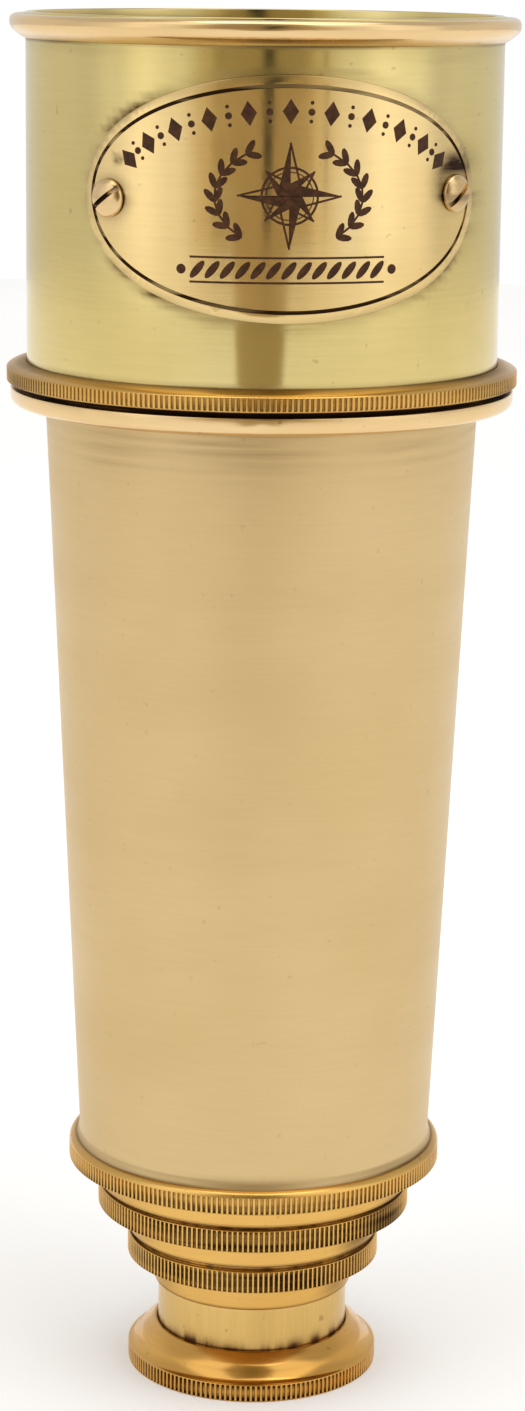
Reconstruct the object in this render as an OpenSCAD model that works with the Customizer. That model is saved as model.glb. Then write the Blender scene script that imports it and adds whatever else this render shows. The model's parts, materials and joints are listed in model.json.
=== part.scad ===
// Three-draw brass hand telescope, closed, standing on its eyepiece.
// Z runs along the optical axis towards the sunshade's mouth and Z = 0 is the eyepiece rim.
// The nameplate faces -Y.

/* [Sunshade] */
// Outside diameter of the sunshade tube
shade_od = 50.8; // [50.4:0.1:51.2]
// Wall of the sunshade tube
shade_wall = 0.7; // [0.5:0.05:0.8]
// Height of the mouth above the eyepiece rim when closed
mouth_z = 151.5; // [149:0.5:155]
// Height of the bead ring round the mouth
bead_height = 2.6; // [2.2:0.1:3]
// How far the bead ring stands out from the tube
bead_depth = 1.7; // [1.2:0.1:2]

/* [Nameplate] */
// Length of the oval nameplate measured round the tube
plate_length = 45.4; // [40:0.2:48]
// Height of the oval nameplate
plate_height = 24.7; // [20:0.1:26]
// Thickness of the nameplate
plate_thickness = 0.55; // [0.4:0.05:0.8]
// Height of the nameplate's centre above the eyepiece rim
plate_z = 133.7; // [131:0.1:134.5]
// Turn of the nameplate's centre from the front
plate_turn = 6; // [-10:1:10]
// Head diameter of the nameplate screws
screw_head_d = 3.9; // [3:0.1:4]

/* [Objective] */
// Largest diameter of the knurled objective collar
collar_od = 55.1; // [54.6:0.1:56]
// Height of the collar's underside
collar_z = 112.5; // [112.5:0.1:113]
// Radius of the objective lenses
objective_r = 20.7; // [20:0.05:20.7]
// Radius of curvature of the objective's curved faces
objective_curve = 95; // [80:5:140]
// Pitch of the thread that holds the objective unit
thread_pitch = 1; // [0.5:0.25:1.5]

/* [Barrel] */
// Outside radius of the barrel under its flange
barrel_top_r = 23.42; // [23.2:0.01:23.5]
// Outside radius of the barrel above its end ring
barrel_bottom_r = 19.72; // [19.6:0.01:19.9]
// Wall of the barrel
barrel_wall = 0.7; // [0.5:0.05:0.7]
// Outside radius of the barrel's front flange
flange_r = 27.16; // [26.5:0.01:27.3]

/* [Draws] */
// Outside radius of the large draw tube
draw_1_r = 17; // [16.9:0.05:17]
// Outside radius of the middle draw tube
draw_2_r = 13.6; // [13.5:0.05:13.6]
// Outside radius of the eye tube
eye_r = 10.73; // [10.6:0.01:10.75]
// Wall of the three draw tubes
draw_wall = 0.6; // [0.5:0.05:0.6]
// Radial clearance between a draw tube and the sleeve that it slides in
slide_gap = 0.05; // [0.02:0.01:0.08]

/* [Eyepiece] */
// Outside radius of the eyepiece cup's knurled rim
cup_r = 14.15; // [13.8:0.05:14.3]
// Radius of the eye hole
eye_hole_r = 3.5; // [2.5:0.1:4]

/* [Hidden] */

$fn = 96;
face_steps = 12;
yellow_brass = [0.80, 0.66, 0.34];
rosy_brass = [0.84, 0.64, 0.46];
satin_brass = [0.78, 0.68, 0.48];
golden_brass = [0.84, 0.58, 0.26];
dark_brass = [0.24, 0.19, 0.13];
clear_glass = [0.75, 0.88, 0.90, 0.5];

shade_r = shade_od / 2;
shade_inner_r = shade_r - shade_wall;
lens_gap = 0.05;
seat_z = 111.95;
collar_shelf = 0.3;
shade_seat_z = seat_z + collar_shelf;

// Objective cell, inside the collar's threaded skirt
skirt_bottom = 104;
skirt_r = 21.95;
cell_bore_r = objective_r + lens_gap;
ledge_r = objective_r - 0.9;
ledge_height = 0.8;
flint_edge = 4;
crown_edge = 1.18;
cement = 0.02;
flint_z = skirt_bottom + ledge_height;
crown_z = flint_z + flint_edge + cement;

// Barrel, and the rings at its two ends
flange_bottom = 109.9;
flange_bore_r = skirt_r + slide_gap;
barrel_bottom = 27.15;
barrel_socket = 1.2;
barrel_top = flange_bottom + barrel_socket;

// Each ring stands above a plain collar that the next draw slides through
end_ring_r = 20.9;
end_ring_z = 24.6;
end_collar_r = 17.7;
end_collar_z = 21.9;
ferrule_1_r = 17.6;
ferrule_1_z = 19;
ferrule_1_top = 21.55;
collar_1_r = 14.25;
collar_1_z = 15.96;
ferrule_2_r = 14.24;
ferrule_2_z = 13;
ferrule_2_top = 15.49;
collar_2_r = 11.2;
collar_2_z = 9.7;

// Sleeves and stop rings: fully drawn, a stop ring ends just short of the top of its sleeve
sleeve_wall = 0.85;
web = 0.8;
spigot = 4;
slit_width = 0.8;
slit_length = 8;
barrel_sleeve_top = 36;
draw_1_sleeve_top = 32;
draw_2_sleeve_top = 27;
stop_height = 3.4;
draw_1_top = 102.5;
draw_2_top = 102;
eye_top = 101.5;

// Eyepiece and erector
cup_top = 4.75;
cup_neck_r = 11.2;
cup_floor = 2.6;
cell_r = eye_r - draw_wall - 0.02;
eye_lens_r = 6;
eye_lens_edge = 1.5;
eye_lens_curve = 14;
eye_lens_z = cup_floor + 0.6;
field_lens_r = 8.2;
field_lens_edge = 1.6;
field_lens_curve = 20;
field_lens_z = 16;
cell_top = 24;
erector_bottom = 56;
erector_top = 96;
erector_lens_r = 7;
erector_lens_edge = 1.6;
erector_lens_curve = 24;
erector_seat = 5;

// Drop of a spherical face of radius curve at distance r from the axis
function sag(curve, r) = curve - sqrt(curve * curve - r * r);

// Half outline of a spherical face out to radius r: its edge lies at edge_z, and rise is 1 for
// a centre above the edge or -1 for a centre below it
function face_arc(r, curve, edge_z, rise) = [
    for (i = [0 : face_steps])
        let (x = r * i / face_steps)
        [x, edge_z + rise * (sag(curve, r) - sag(curve, x))]];

function reversed(points) = [for (i = [len(points) - 1 : -1 : 0]) points[i]];

// Points of the oval seen square on, so that it measures length by height round the tube
function oval(length, height, r, steps) = [
    for (i = [0 : steps - 1])
        let (a = i * 360 / steps, turn = length / 2 * cos(a) / r * 180 / PI)
        [r * sin(turn), height / 2 * sin(a)]];

module revolve(outline) {
    rotate_extrude()
        polygon(outline);
}

module tube(outer_r, inner_r, bottom, top) {
    translate([0, 0, bottom])
        difference() {
            cylinder(r = outer_r, h = top - bottom);
            translate([0, 0, -1])
                cylinder(r = inner_r, h = top - bottom + 2);
        }
}

// A turned piece, bored right through
module bored(outline, bore_r) {
    difference() {
        revolve(outline);
        cylinder(r = bore_r, h = 200);
    }
}

// A spring sleeve, slit crosswise at its upper end so that it grips the draw
module guide_sleeve(bore_r, bottom, top) {
    difference() {
        tube(bore_r + sleeve_wall, bore_r, bottom, top);
        for (turn = [0, 90])
            rotate([0, 0, turn])
                translate([-bore_r * 2, -slit_width / 2, top - slit_length])
                    cube([bore_r * 4, slit_width, slit_length + 1]);
    }
}

// A lens with one flat face down and one domed face up
module plano_convex(r, edge, curve, z) {
    dome = sag(curve, r);
    translate([0, 0, z])
        intersection() {
            cylinder(r = r, h = edge + dome);
            translate([0, 0, edge + dome - curve])
                sphere(r = curve);
        }
}

module plate_prism(length, height) {
    translate([0, 0, plate_z])
        rotate([90, 0, 0])
            linear_extrude(shade_r + 5)
                polygon(oval(length, height, shade_r + plate_thickness, 96));
}

// Places its children at both nameplate screws, with X pointing straight out of the tube
module at_screws() {
    lever = (plate_length / 2 - 3.3) / (shade_r + plate_thickness) * 180 / PI;
    for (side = [-1, 1])
        rotate([0, 0, plate_turn + side * lever - 90])
            translate([0, 0, plate_z + side * 0.3])
                rotate([0, 90, 0])
                    children();
}

module front_bead_ring() {
    top = mouth_z - 0.2;
    bottom = top - bead_height;
    out = shade_r + bead_depth;
    color(rosy_brass)
        revolve([[shade_r, bottom], [shade_r + 0.5, bottom + 0.35], [out - 0.35, bottom + 1.1],
                 [out, bottom + 1.5], [out, top - 0.6], [out - 0.15, top - 0.25],
                 [out - 0.5, top], [shade_r, top]]);
}

module sunshade_tube() {
    color(yellow_brass)
        difference() {
            tube(shade_r, shade_inner_r, shade_seat_z, mouth_z);
            at_screws()
                cylinder(r = 1, h = shade_r + 5);
        }
}

module nameplate() {
    line_in = 1.9;
    line_wide = 0.5;
    line_depth = 0.12;
    face_r = shade_r + plate_thickness;
    color(rosy_brass)
        difference() {
            rotate([0, 0, plate_turn])
                difference() {
                    intersection() {
                        tube(face_r, shade_r, plate_z - plate_height, plate_z + plate_height / 2 + 1);
                        plate_prism(plate_length, plate_height);
                    }
                    intersection() {
                        tube(face_r + 1, face_r - line_depth, plate_z - plate_height,
                             plate_z + plate_height);
                        difference() {
                            plate_prism(plate_length - line_in, plate_height - line_in);
                            plate_prism(plate_length - line_in - 2 * line_wide,
                                        plate_height - line_in - 2 * line_wide);
                        }
                    }
                }
            at_screws()
                cylinder(r = 1, h = shade_r + 5);
        }
}

module nameplate_screws() {
    head_z = shade_r + plate_thickness;
    head_r = screw_head_d / 2;
    head_h = 0.95;
    slot = 0.6;
    color(golden_brass)
        at_screws()
            difference() {
                union() {
                    translate([0, 0, shade_inner_r + 0.03])
                        cylinder(r = 0.95, h = head_z - shade_inner_r);
                    translate([0, 0, head_z])
                        cylinder(r = head_r, h = head_h * 0.4);
                    translate([0, 0, head_z + head_h * 0.4])
                        cylinder(r1 = head_r, r2 = head_r * 0.66, h = head_h * 0.6);
                }
                translate([-head_r * 2, -slot / 2, head_z + head_h * 0.45])
                    cube([head_r * 4, slot, head_h]);
            }
}

module objective_collar() {
    rim = collar_od / 2;
    shoulder = collar_z + 1.7;
    color(golden_brass)
        difference() {
            revolve([[skirt_r - 1, skirt_bottom], [skirt_r, skirt_bottom], [skirt_r, seat_z],
                     [shade_r + 0.6, seat_z], [shade_r + 0.6, collar_z], [rim - 0.15, collar_z],
                     [rim, collar_z + 0.15], [rim, shoulder], [rim - 0.3, shoulder + 0.1],
                     [shade_r, shoulder + 0.5], [skirt_r - 1, shoulder + 0.5]]);
            translate([0, 0, shade_seat_z])
                cylinder(r = shade_r, h = 10);
            translate([0, 0, flint_z])
                cylinder(r = cell_bore_r, h = 20);
            cylinder(r = ledge_r, h = 120);
        }
}

module objective_flint_lens() {
    front = face_arc(objective_r, objective_curve, flint_z + flint_edge, -1);
    color(clear_glass)
        revolve(concat([[0, flint_z], [objective_r, flint_z]], reversed(front)));
}

module objective_crown_lens() {
    back = face_arc(objective_r, objective_curve, crown_z, -1);
    front = face_arc(objective_r, objective_curve, crown_z + crown_edge, 1);
    color(clear_glass)
        revolve(concat(back, reversed(front)));
}

module objective_retaining_ring() {
    rise = sag(objective_curve, objective_r) - sag(objective_curve, ledge_r);
    bottom = crown_z + crown_edge + rise + 0.01;
    color(dark_brass)
        difference() {
            tube(cell_bore_r, ledge_r, bottom, bottom + 1.8);
            translate([-shade_r, -0.75, bottom + 1])
                cube([2 * shade_r, 1.5, 2]);
        }
}

module barrel_flange() {
    color(rosy_brass)
        revolve([[flange_bore_r, skirt_bottom - 0.5], [flange_bore_r + 0.4, skirt_bottom - 0.5],
                 [flange_bore_r + 0.4, barrel_top], [barrel_top_r + 0.08, barrel_top],
                 [barrel_top_r + 0.08, flange_bottom], [flange_r - 0.5, flange_bottom],
                 [flange_r - 0.15, flange_bottom + 0.15], [flange_r, flange_bottom + 0.5],
                 [flange_r, seat_z - 0.15], [flange_r - 0.15, seat_z], [flange_bore_r, seat_z]]);
}

module barrel_tube() {
    color(satin_brass)
        revolve([[barrel_bottom_r - barrel_wall, barrel_bottom], [20.1, barrel_bottom],
                 [19.87, barrel_bottom + 0.5], [barrel_bottom_r, barrel_bottom + 1.4],
                 [barrel_top_r, barrel_top], [barrel_top_r - barrel_wall + 0.1, barrel_top]]);
}

module barrel_end_ring() {
    bore = draw_1_r + slide_gap;
    spigot_r = barrel_bottom_r - barrel_wall - 0.02;
    recess_r = bore + sleeve_wall;
    color(golden_brass)
        difference() {
            bored([[0, end_collar_z], [end_collar_r - 0.15, end_collar_z],
                   [end_collar_r, end_collar_z + 0.15], [end_collar_r, end_ring_z],
                   [end_ring_r, end_ring_z], [end_ring_r, barrel_bottom - 0.45],
                   [end_ring_r - 0.15, barrel_bottom - 0.15], [end_ring_r - 0.5, barrel_bottom],
                   [spigot_r, barrel_bottom], [spigot_r, barrel_bottom + spigot],
                   [0, barrel_bottom + spigot]], bore);
            translate([0, 0, end_ring_z + web])
                cylinder(r = recess_r, h = 20);
        }
}

module barrel_guide_sleeve() {
    color(dark_brass)
        guide_sleeve(draw_1_r + slide_gap, end_ring_z + web, barrel_sleeve_top);
}

// A knurled ring over a plain collar, with a spigot inside the tube above it
module ferrule(ring_r, ring_z, ring_top, collar_r, low, tube_r, inner_draw_r) {
    bore = inner_draw_r + slide_gap;
    spigot_r = tube_r - draw_wall;
    color(golden_brass)
        difference() {
            bored([[0, low], [collar_r - 0.15, low], [collar_r, low + 0.15], [collar_r, ring_z],
                   [ring_r, ring_z], [ring_r, ring_top - 0.25], [ring_r - 0.25, ring_top],
                   [spigot_r, ring_top], [spigot_r, ring_top + spigot], [0, ring_top + spigot]],
                  bore);
            translate([0, 0, ring_z + web])
                cylinder(r = bore + sleeve_wall, h = 20);
        }
}

module stop_ring(tube_r, reach_r, top) {
    color(dark_brass)
        tube(reach_r, tube_r, top - stop_height, top);
}

module draw_1_tube() {
    color(yellow_brass)
        tube(draw_1_r, draw_1_r - draw_wall, ferrule_1_top, draw_1_top);
}

module draw_1_ferrule() {
    ferrule(ferrule_1_r, ferrule_1_z, ferrule_1_top, collar_1_r, collar_1_z, draw_1_r, draw_2_r);
}

module draw_1_guide_sleeve() {
    color(dark_brass)
        guide_sleeve(draw_2_r + slide_gap, ferrule_1_z + web, draw_1_sleeve_top);
}

module draw_1_stop_ring() {
    stop_ring(draw_1_r, draw_1_r + 1.8, draw_1_top);
}

module draw_2_tube() {
    color(yellow_brass)
        tube(draw_2_r, draw_2_r - draw_wall, ferrule_2_top, draw_2_top);
}

module draw_2_ferrule() {
    ferrule(ferrule_2_r, ferrule_2_z, ferrule_2_top, collar_2_r, collar_2_z, draw_2_r, eye_r);
}

module draw_2_guide_sleeve() {
    color(dark_brass)
        guide_sleeve(eye_r + slide_gap, ferrule_2_z + web, draw_2_sleeve_top);
}

module draw_2_stop_ring() {
    stop_ring(draw_2_r, draw_2_r + 1.8, draw_2_top);
}

module eye_tube() {
    color(yellow_brass)
        tube(eye_r, eye_r - draw_wall, cup_floor, eye_top);
}

module eye_tube_stop_ring() {
    stop_ring(eye_r, eye_r + 1.7, eye_top);
}

module erector_tube() {
    seat_r = erector_lens_r + lens_gap;
    ledge = erector_lens_r - 0.8;
    color(dark_brass)
        revolve([[seat_r, erector_bottom], [cell_r, erector_bottom], [cell_r, erector_top],
                 [seat_r, erector_top], [seat_r, erector_top - erector_seat],
                 [ledge, erector_top - erector_seat], [ledge, erector_bottom + erector_seat],
                 [seat_r, erector_bottom + erector_seat]]);
}

module erector_rear_lens() {
    color(clear_glass)
        mirror([0, 0, 1])
            plano_convex(erector_lens_r, erector_lens_edge, erector_lens_curve,
                         -erector_bottom - erector_seat + cement);
}

module erector_front_lens() {
    color(clear_glass)
        plano_convex(erector_lens_r, erector_lens_edge, erector_lens_curve,
                     erector_top - erector_seat + cement);
}

module erector_retaining_rings() {
    hold_r = erector_lens_r - 1;
    rise = sag(erector_lens_curve, erector_lens_r) - sag(erector_lens_curve, hold_r);
    start = erector_lens_edge + rise + 0.05;
    color(dark_brass) {
        tube(erector_lens_r + lens_gap, hold_r, erector_top - erector_seat + start, erector_top - 0.5);
        tube(erector_lens_r + lens_gap, hold_r, erector_bottom + 0.5,
             erector_bottom + erector_seat - start);
    }
}

module erector_aperture_stop() {
    middle = (erector_bottom + erector_top) / 2;
    color(dark_brass)
        tube(erector_lens_r - 0.8, 2.5, middle - 0.4, middle + 0.4);
}

module ocular_cell() {
    seat_r = eye_lens_r + lens_gap;
    mid_r = field_lens_r - 0.8;
    color(dark_brass)
        revolve([[eye_lens_r - 1.2, cup_floor], [cell_r, cup_floor], [cell_r, cell_top],
                 [field_lens_r + lens_gap, cell_top], [field_lens_r + lens_gap, field_lens_z],
                 [mid_r, field_lens_z], [mid_r, 7.5], [seat_r, 7.5], [seat_r, eye_lens_z],
                 [eye_lens_r - 1.2, eye_lens_z]]);
}

module eye_lens() {
    color(clear_glass)
        plano_convex(eye_lens_r, eye_lens_edge, eye_lens_curve, eye_lens_z + cement);
}

module eye_lens_retaining_ring() {
    hold_r = eye_lens_r - 1;
    rise = sag(eye_lens_curve, eye_lens_r) - sag(eye_lens_curve, hold_r);
    bottom = eye_lens_z + eye_lens_edge + rise + 0.05;
    color(dark_brass)
        tube(eye_lens_r + lens_gap, hold_r, bottom, bottom + 1.6);
}

module field_lens() {
    color(clear_glass)
        plano_convex(field_lens_r, field_lens_edge, field_lens_curve, field_lens_z + cement);
}

module field_lens_retaining_ring() {
    hold_r = field_lens_r - 1;
    rise = sag(field_lens_curve, field_lens_r) - sag(field_lens_curve, hold_r);
    bottom = field_lens_z + field_lens_edge + rise + 0.05;
    color(dark_brass)
        tube(field_lens_r + lens_gap, hold_r, bottom, bottom + 2);
}

module field_stop() {
    color(dark_brass)
        tube(field_lens_r - 0.8, 4.2, 10.5, 11.1);
}

module eyepiece_cup() {
    rim_top = 2;
    dish_r = 11.8;
    dish_depth = 1.7;
    color(golden_brass)
        difference() {
            revolve([[eye_hole_r, dish_depth], [dish_r, 0], [cup_r - 0.15, 0], [cup_r, 0.15],
                     [cup_r, rim_top], [cup_r - 0.35, 2.35], [cup_r - 1.05, 2.9],
                     [cup_r - 1.75, 3.6], [cup_neck_r + 0.5, 4.3], [cup_neck_r, cup_top],
                     [eye_hole_r, cup_top]]);
            translate([0, 0, cup_floor])
                cylinder(r = eye_r + 0.02, h = 10);
        }
}

front_bead_ring();
sunshade_tube();
nameplate();
nameplate_screws();
objective_collar();
objective_crown_lens();
objective_flint_lens();
objective_retaining_ring();
barrel_flange();
barrel_tube();
barrel_end_ring();
barrel_guide_sleeve();
draw_1_tube();
draw_1_ferrule();
draw_1_guide_sleeve();
draw_1_stop_ring();
draw_2_tube();
draw_2_ferrule();
draw_2_guide_sleeve();
draw_2_stop_ring();
eye_tube();
eye_tube_stop_ring();
erector_tube();
erector_front_lens();
erector_rear_lens();
erector_aperture_stop();
erector_retaining_rings();
ocular_cell();
field_lens();
field_lens_retaining_ring();
field_stop();
eye_lens();
eye_lens_retaining_ring();
eyepiece_cup();
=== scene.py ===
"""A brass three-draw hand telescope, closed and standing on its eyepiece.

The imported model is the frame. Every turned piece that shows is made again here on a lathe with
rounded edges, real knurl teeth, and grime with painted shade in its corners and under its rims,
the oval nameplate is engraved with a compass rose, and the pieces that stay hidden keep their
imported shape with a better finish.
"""

import json
import logging
import math
from collections.abc import Callable, Iterable
from dataclasses import dataclass, field
from enum import Enum

import bpy
from mathutils import Matrix, Vector

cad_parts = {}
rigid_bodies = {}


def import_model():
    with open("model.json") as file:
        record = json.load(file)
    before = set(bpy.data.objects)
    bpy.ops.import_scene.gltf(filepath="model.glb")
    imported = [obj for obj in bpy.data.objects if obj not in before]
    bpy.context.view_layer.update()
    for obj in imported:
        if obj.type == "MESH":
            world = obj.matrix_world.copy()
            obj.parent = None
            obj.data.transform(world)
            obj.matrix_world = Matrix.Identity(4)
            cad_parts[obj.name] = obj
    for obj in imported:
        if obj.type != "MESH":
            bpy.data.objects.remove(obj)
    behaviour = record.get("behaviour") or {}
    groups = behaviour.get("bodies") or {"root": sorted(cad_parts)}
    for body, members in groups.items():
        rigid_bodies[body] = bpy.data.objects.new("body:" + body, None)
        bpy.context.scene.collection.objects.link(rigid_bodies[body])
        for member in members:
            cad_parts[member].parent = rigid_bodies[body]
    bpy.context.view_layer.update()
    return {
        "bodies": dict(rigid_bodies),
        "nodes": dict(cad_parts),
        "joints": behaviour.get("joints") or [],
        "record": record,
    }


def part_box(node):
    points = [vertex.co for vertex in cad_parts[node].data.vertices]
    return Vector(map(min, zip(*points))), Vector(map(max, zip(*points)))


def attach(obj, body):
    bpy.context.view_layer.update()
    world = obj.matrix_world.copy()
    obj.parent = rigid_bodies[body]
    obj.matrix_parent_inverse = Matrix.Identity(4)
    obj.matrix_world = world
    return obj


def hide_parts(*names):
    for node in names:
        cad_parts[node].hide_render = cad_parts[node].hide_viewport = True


log = logging.getLogger("telescope")

MM = 0.001
FULL_TURN = 2 * math.pi
AXIS = (0.0, 0.0, 1.0)
CENTRE = (0.0, 0.0, 0.0)
# Attribute of dirt and painted shade: high in gaps between parts, under rims and deep in tubes.
GRIME_AND_SHADE = "grime_and_shade"
TOOTH = "tooth"
PLATE_THICKNESS = 0.55
Colour = tuple[float, float, float]


class Grain(Enum):
    """Which way the fine lines of a finish run; each value scales X, Y and Z of the pattern."""

    AROUND = (0.06, 0.06, 1.0)
    ALONG = (1.0, 1.0, 0.03)
    EVEN = (1.0, 1.0, 1.0)


# --- Finishes -----------------------------------------------------------------------------------


class Shelf:
    """Wires the nodes of one material from left to right."""

    def __init__(self, name: str) -> None:
        """Starts an empty node material.

        Args:
            name: Name of the material.
        """
        self.material = bpy.data.materials.new(name)
        self.material.use_nodes = True
        self.tree = self.material.node_tree
        self.shader = self.tree.nodes["Principled BSDF"]
        self.place = self.tree.nodes.new("ShaderNodeTexCoord").outputs["Object"]

    def link(self, source: bpy.types.NodeSocket, target: bpy.types.NodeSocket) -> None:
        """Joins an output to an input."""
        self.tree.links.new(source, target)

    def noise(self, scale: float, grain: Grain, detail: float = 3.0,
              offset: float = 0.0) -> bpy.types.NodeSocket:
        """A noise pattern on the piece's own coordinates.

        Args:
            scale: Pattern cells per metre.
            grain: Which way the pattern is drawn out.
            detail: Octaves of finer noise.
            offset: Shift that makes one pattern differ from the next.

        Returns:
            The noise value, around 0.5.
        """
        mapping = self.tree.nodes.new("ShaderNodeMapping")
        mapping.inputs["Scale"].default_value = grain.value
        mapping.inputs["Location"].default_value = (offset, offset * 0.7, offset * 1.3)
        noise = self.tree.nodes.new("ShaderNodeTexNoise")
        noise.inputs["Scale"].default_value = scale
        noise.inputs["Detail"].default_value = detail
        self.link(self.place, mapping.inputs["Vector"])
        self.link(mapping.outputs["Vector"], noise.inputs["Vector"])
        return noise.outputs["Fac"]

    def remap(self, value: bpy.types.NodeSocket, low: float, high: float, to_low: float = 0.0,
              to_high: float = 1.0) -> bpy.types.NodeSocket:
        """Maps low..high to to_low..to_high, smoothly and clamped.

        Args:
            value: The value to map.
            low: Value that becomes to_low.
            high: Value that becomes to_high.
            to_low: Result at low.
            to_high: Result at high.

        Returns:
            The mapped value.
        """
        node = self.tree.nodes.new("ShaderNodeMapRange")
        node.interpolation_type = "SMOOTHSTEP"
        settings = {"From Min": low, "From Max": high, "To Min": to_low, "To Max": to_high}
        for key, number in settings.items():
            node.inputs[key].default_value = number
        self.link(value, node.inputs["Value"])
        return node.outputs["Result"]

    def maths(self, operation: str, first: bpy.types.NodeSocket,
              second: bpy.types.NodeSocket | float) -> bpy.types.NodeSocket:
        """One arithmetic step, clamped to 0..1.

        Args:
            operation: Name of the operation, such as MULTIPLY.
            first: Left value.
            second: Right value, a socket or a number.

        Returns:
            The result.
        """
        node = self.tree.nodes.new("ShaderNodeMath")
        node.operation = operation
        node.use_clamp = True
        self.link(first, node.inputs[0])
        if isinstance(second, (int, float)):
            node.inputs[1].default_value = second
        else:
            self.link(second, node.inputs[1])
        return node.outputs[0]

    def blend(self, amount: bpy.types.NodeSocket, first: bpy.types.NodeSocket | Colour,
              second: bpy.types.NodeSocket | Colour) -> bpy.types.NodeSocket:
        """Mixes two colours.

        Args:
            amount: 0 gives first, 1 gives second.
            first: A colour, or the socket of one.
            second: A colour, or the socket of one.

        Returns:
            The mixed colour.
        """
        node = self.tree.nodes.new("ShaderNodeMix")
        node.data_type = "RGBA"
        self.link(amount, node.inputs[0])
        for value, socket in ((first, node.inputs[6]), (second, node.inputs[7])):
            if isinstance(value, tuple):
                socket.default_value = (*value, 1.0)
            else:
                self.link(value, socket)
        return node.outputs[2]

    def attribute(self, name: str) -> bpy.types.NodeSocket:
        """Value that the piece's mesh carries under a name."""
        node = self.tree.nodes.new("ShaderNodeAttribute")
        node.attribute_name = name
        return node.outputs["Fac"]

    def bump(self, height: bpy.types.NodeSocket, depth: float,
             before: bpy.types.NodeSocket | None = None) -> bpy.types.NodeSocket:
        """Turns a height pattern into a surface normal.

        Args:
            height: The pattern.
            depth: Full depth of the pattern in metres.
            before: Normal of a coarser pattern below this one.

        Returns:
            The bumped normal.
        """
        node = self.tree.nodes.new("ShaderNodeBump")
        node.inputs["Strength"].default_value = 1.0
        node.inputs["Distance"].default_value = depth
        self.link(height, node.inputs["Height"])
        if before is not None:
            self.link(before, node.inputs["Normal"])
        return node.outputs["Normal"]


@dataclass(frozen=True)
class BrassFinish:
    """Worked brass: base tone, drifting tints, fine tool lines, tarnish, grime and painted shade.
    """

    name: str
    tone: Colour
    tint: Colour
    tarnish: Colour = (0.36, 0.20, 0.07)
    # Colour of specks and of the grime attribute, so also of painted shade in gaps and under rims.
    dirt: Colour = (0.035, 0.018, 0.008)
    roughness: float = 0.16
    roughness_spread: float = 0.08
    grain: Grain = Grain.AROUND
    line_scale: float = 2600.0
    line_depth: float = 1.5e-6
    line_contrast: float = 0.10
    tarnish_amount: float = 0.25
    speck_amount: float = 0.35
    anisotropy: float = 0.0
    # Range that breaks up the grime and painted shade.
    grime_and_shade_low: float = 0.25
    grime_and_shade_high: float = 1.25

    def build(self) -> bpy.types.Material:
        """Makes the node material.

        Returns:
            The material.
        """
        shelf = Shelf(self.name)
        drift = shelf.remap(shelf.noise(45.0, Grain.EVEN, 2.0), 0.35, 0.65)
        colour = shelf.blend(drift, self.tone, self.tint)
        lines = shelf.noise(self.line_scale, self.grain, 4.0, 3.1)
        shade = shelf.remap(lines, 0.35, 0.7, 0.0, self.line_contrast)
        colour = shelf.blend(shade, colour, self.tarnish)
        cloud = shelf.noise(110.0, self.grain, 5.0, 7.7)
        patch = shelf.remap(cloud, 0.56, 0.74, 0.0, self.tarnish_amount)
        colour = shelf.blend(patch, colour, self.tarnish)
        specks = shelf.remap(shelf.noise(900.0, Grain.EVEN, 2.0, 1.9), 0.70, 0.76, 0.0,
                             self.speck_amount)
        colour = shelf.blend(specks, colour, self.dirt)
        breakup = shelf.remap(shelf.noise(700.0, self.grain, 4.0, 5.3), 0.3, 0.7,
                              self.grime_and_shade_low, self.grime_and_shade_high)
        # Grime and painted shade: dark in gaps, under rims, deep in tubes and in knurl grooves.
        grime_and_shade = shelf.maths("MULTIPLY", shelf.attribute(GRIME_AND_SHADE), breakup)
        colour = shelf.blend(grime_and_shade, colour, self.dirt)
        shelf.link(colour, shelf.shader.inputs["Base Color"])
        wear = shelf.remap(shelf.noise(160.0, self.grain, 3.0, 9.2), 0.3, 0.7,
                           self.roughness, self.roughness + self.roughness_spread)
        rough = shelf.maths("ADD", wear, shelf.maths("MULTIPLY", grime_and_shade, 0.4))
        shelf.link(rough, shelf.shader.inputs["Roughness"])
        shelf.shader.inputs["Metallic"].default_value = 1.0
        shelf.shader.inputs["Anisotropic"].default_value = self.anisotropy
        waves = shelf.bump(shelf.noise(90.0, Grain.EVEN, 1.0, 4.4), 4.0e-6)
        normal = shelf.bump(lines, self.line_depth, waves)
        shelf.link(normal, shelf.shader.inputs["Normal"])
        return shelf.material


@dataclass(frozen=True)
class FillFinish:
    """Matt dark filling of engraved lines, slightly uneven."""

    name: str
    dark: Colour = (0.045, 0.017, 0.006)
    light: Colour = (0.085, 0.034, 0.012)

    def build(self) -> bpy.types.Material:
        """Makes the node material.

        Returns:
            The material.
        """
        shelf = Shelf(self.name)
        patch = shelf.remap(shelf.noise(1500.0, Grain.EVEN), 0.35, 0.7)
        shelf.link(shelf.blend(patch, self.dark, self.light), shelf.shader.inputs["Base Color"])
        shelf.shader.inputs["Specular IOR Level"].default_value = 0.18
        rough = shelf.remap(patch, 0.0, 1.0, 0.45, 0.7)
        shelf.link(rough, shelf.shader.inputs["Roughness"])
        return shelf.material


@dataclass(frozen=True)
class GlassFinish:
    """Polished optical glass with a little dust."""

    name: str
    clear: Colour = (0.93, 0.98, 0.97)
    dusty: Colour = (0.84, 0.90, 0.88)

    def build(self) -> bpy.types.Material:
        """Makes the node material.

        Returns:
            The material.
        """
        shelf = Shelf(self.name)
        dust = shelf.remap(shelf.noise(400.0, Grain.EVEN, 4.0), 0.5, 0.75)
        shelf.link(shelf.blend(dust, self.clear, self.dusty), shelf.shader.inputs["Base Color"])
        shelf.link(shelf.remap(dust, 0.0, 1.0, 0.01, 0.08), shelf.shader.inputs["Roughness"])
        shelf.shader.inputs["Transmission Weight"].default_value = 1.0
        shelf.shader.inputs["IOR"].default_value = 1.52
        return shelf.material


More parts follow.
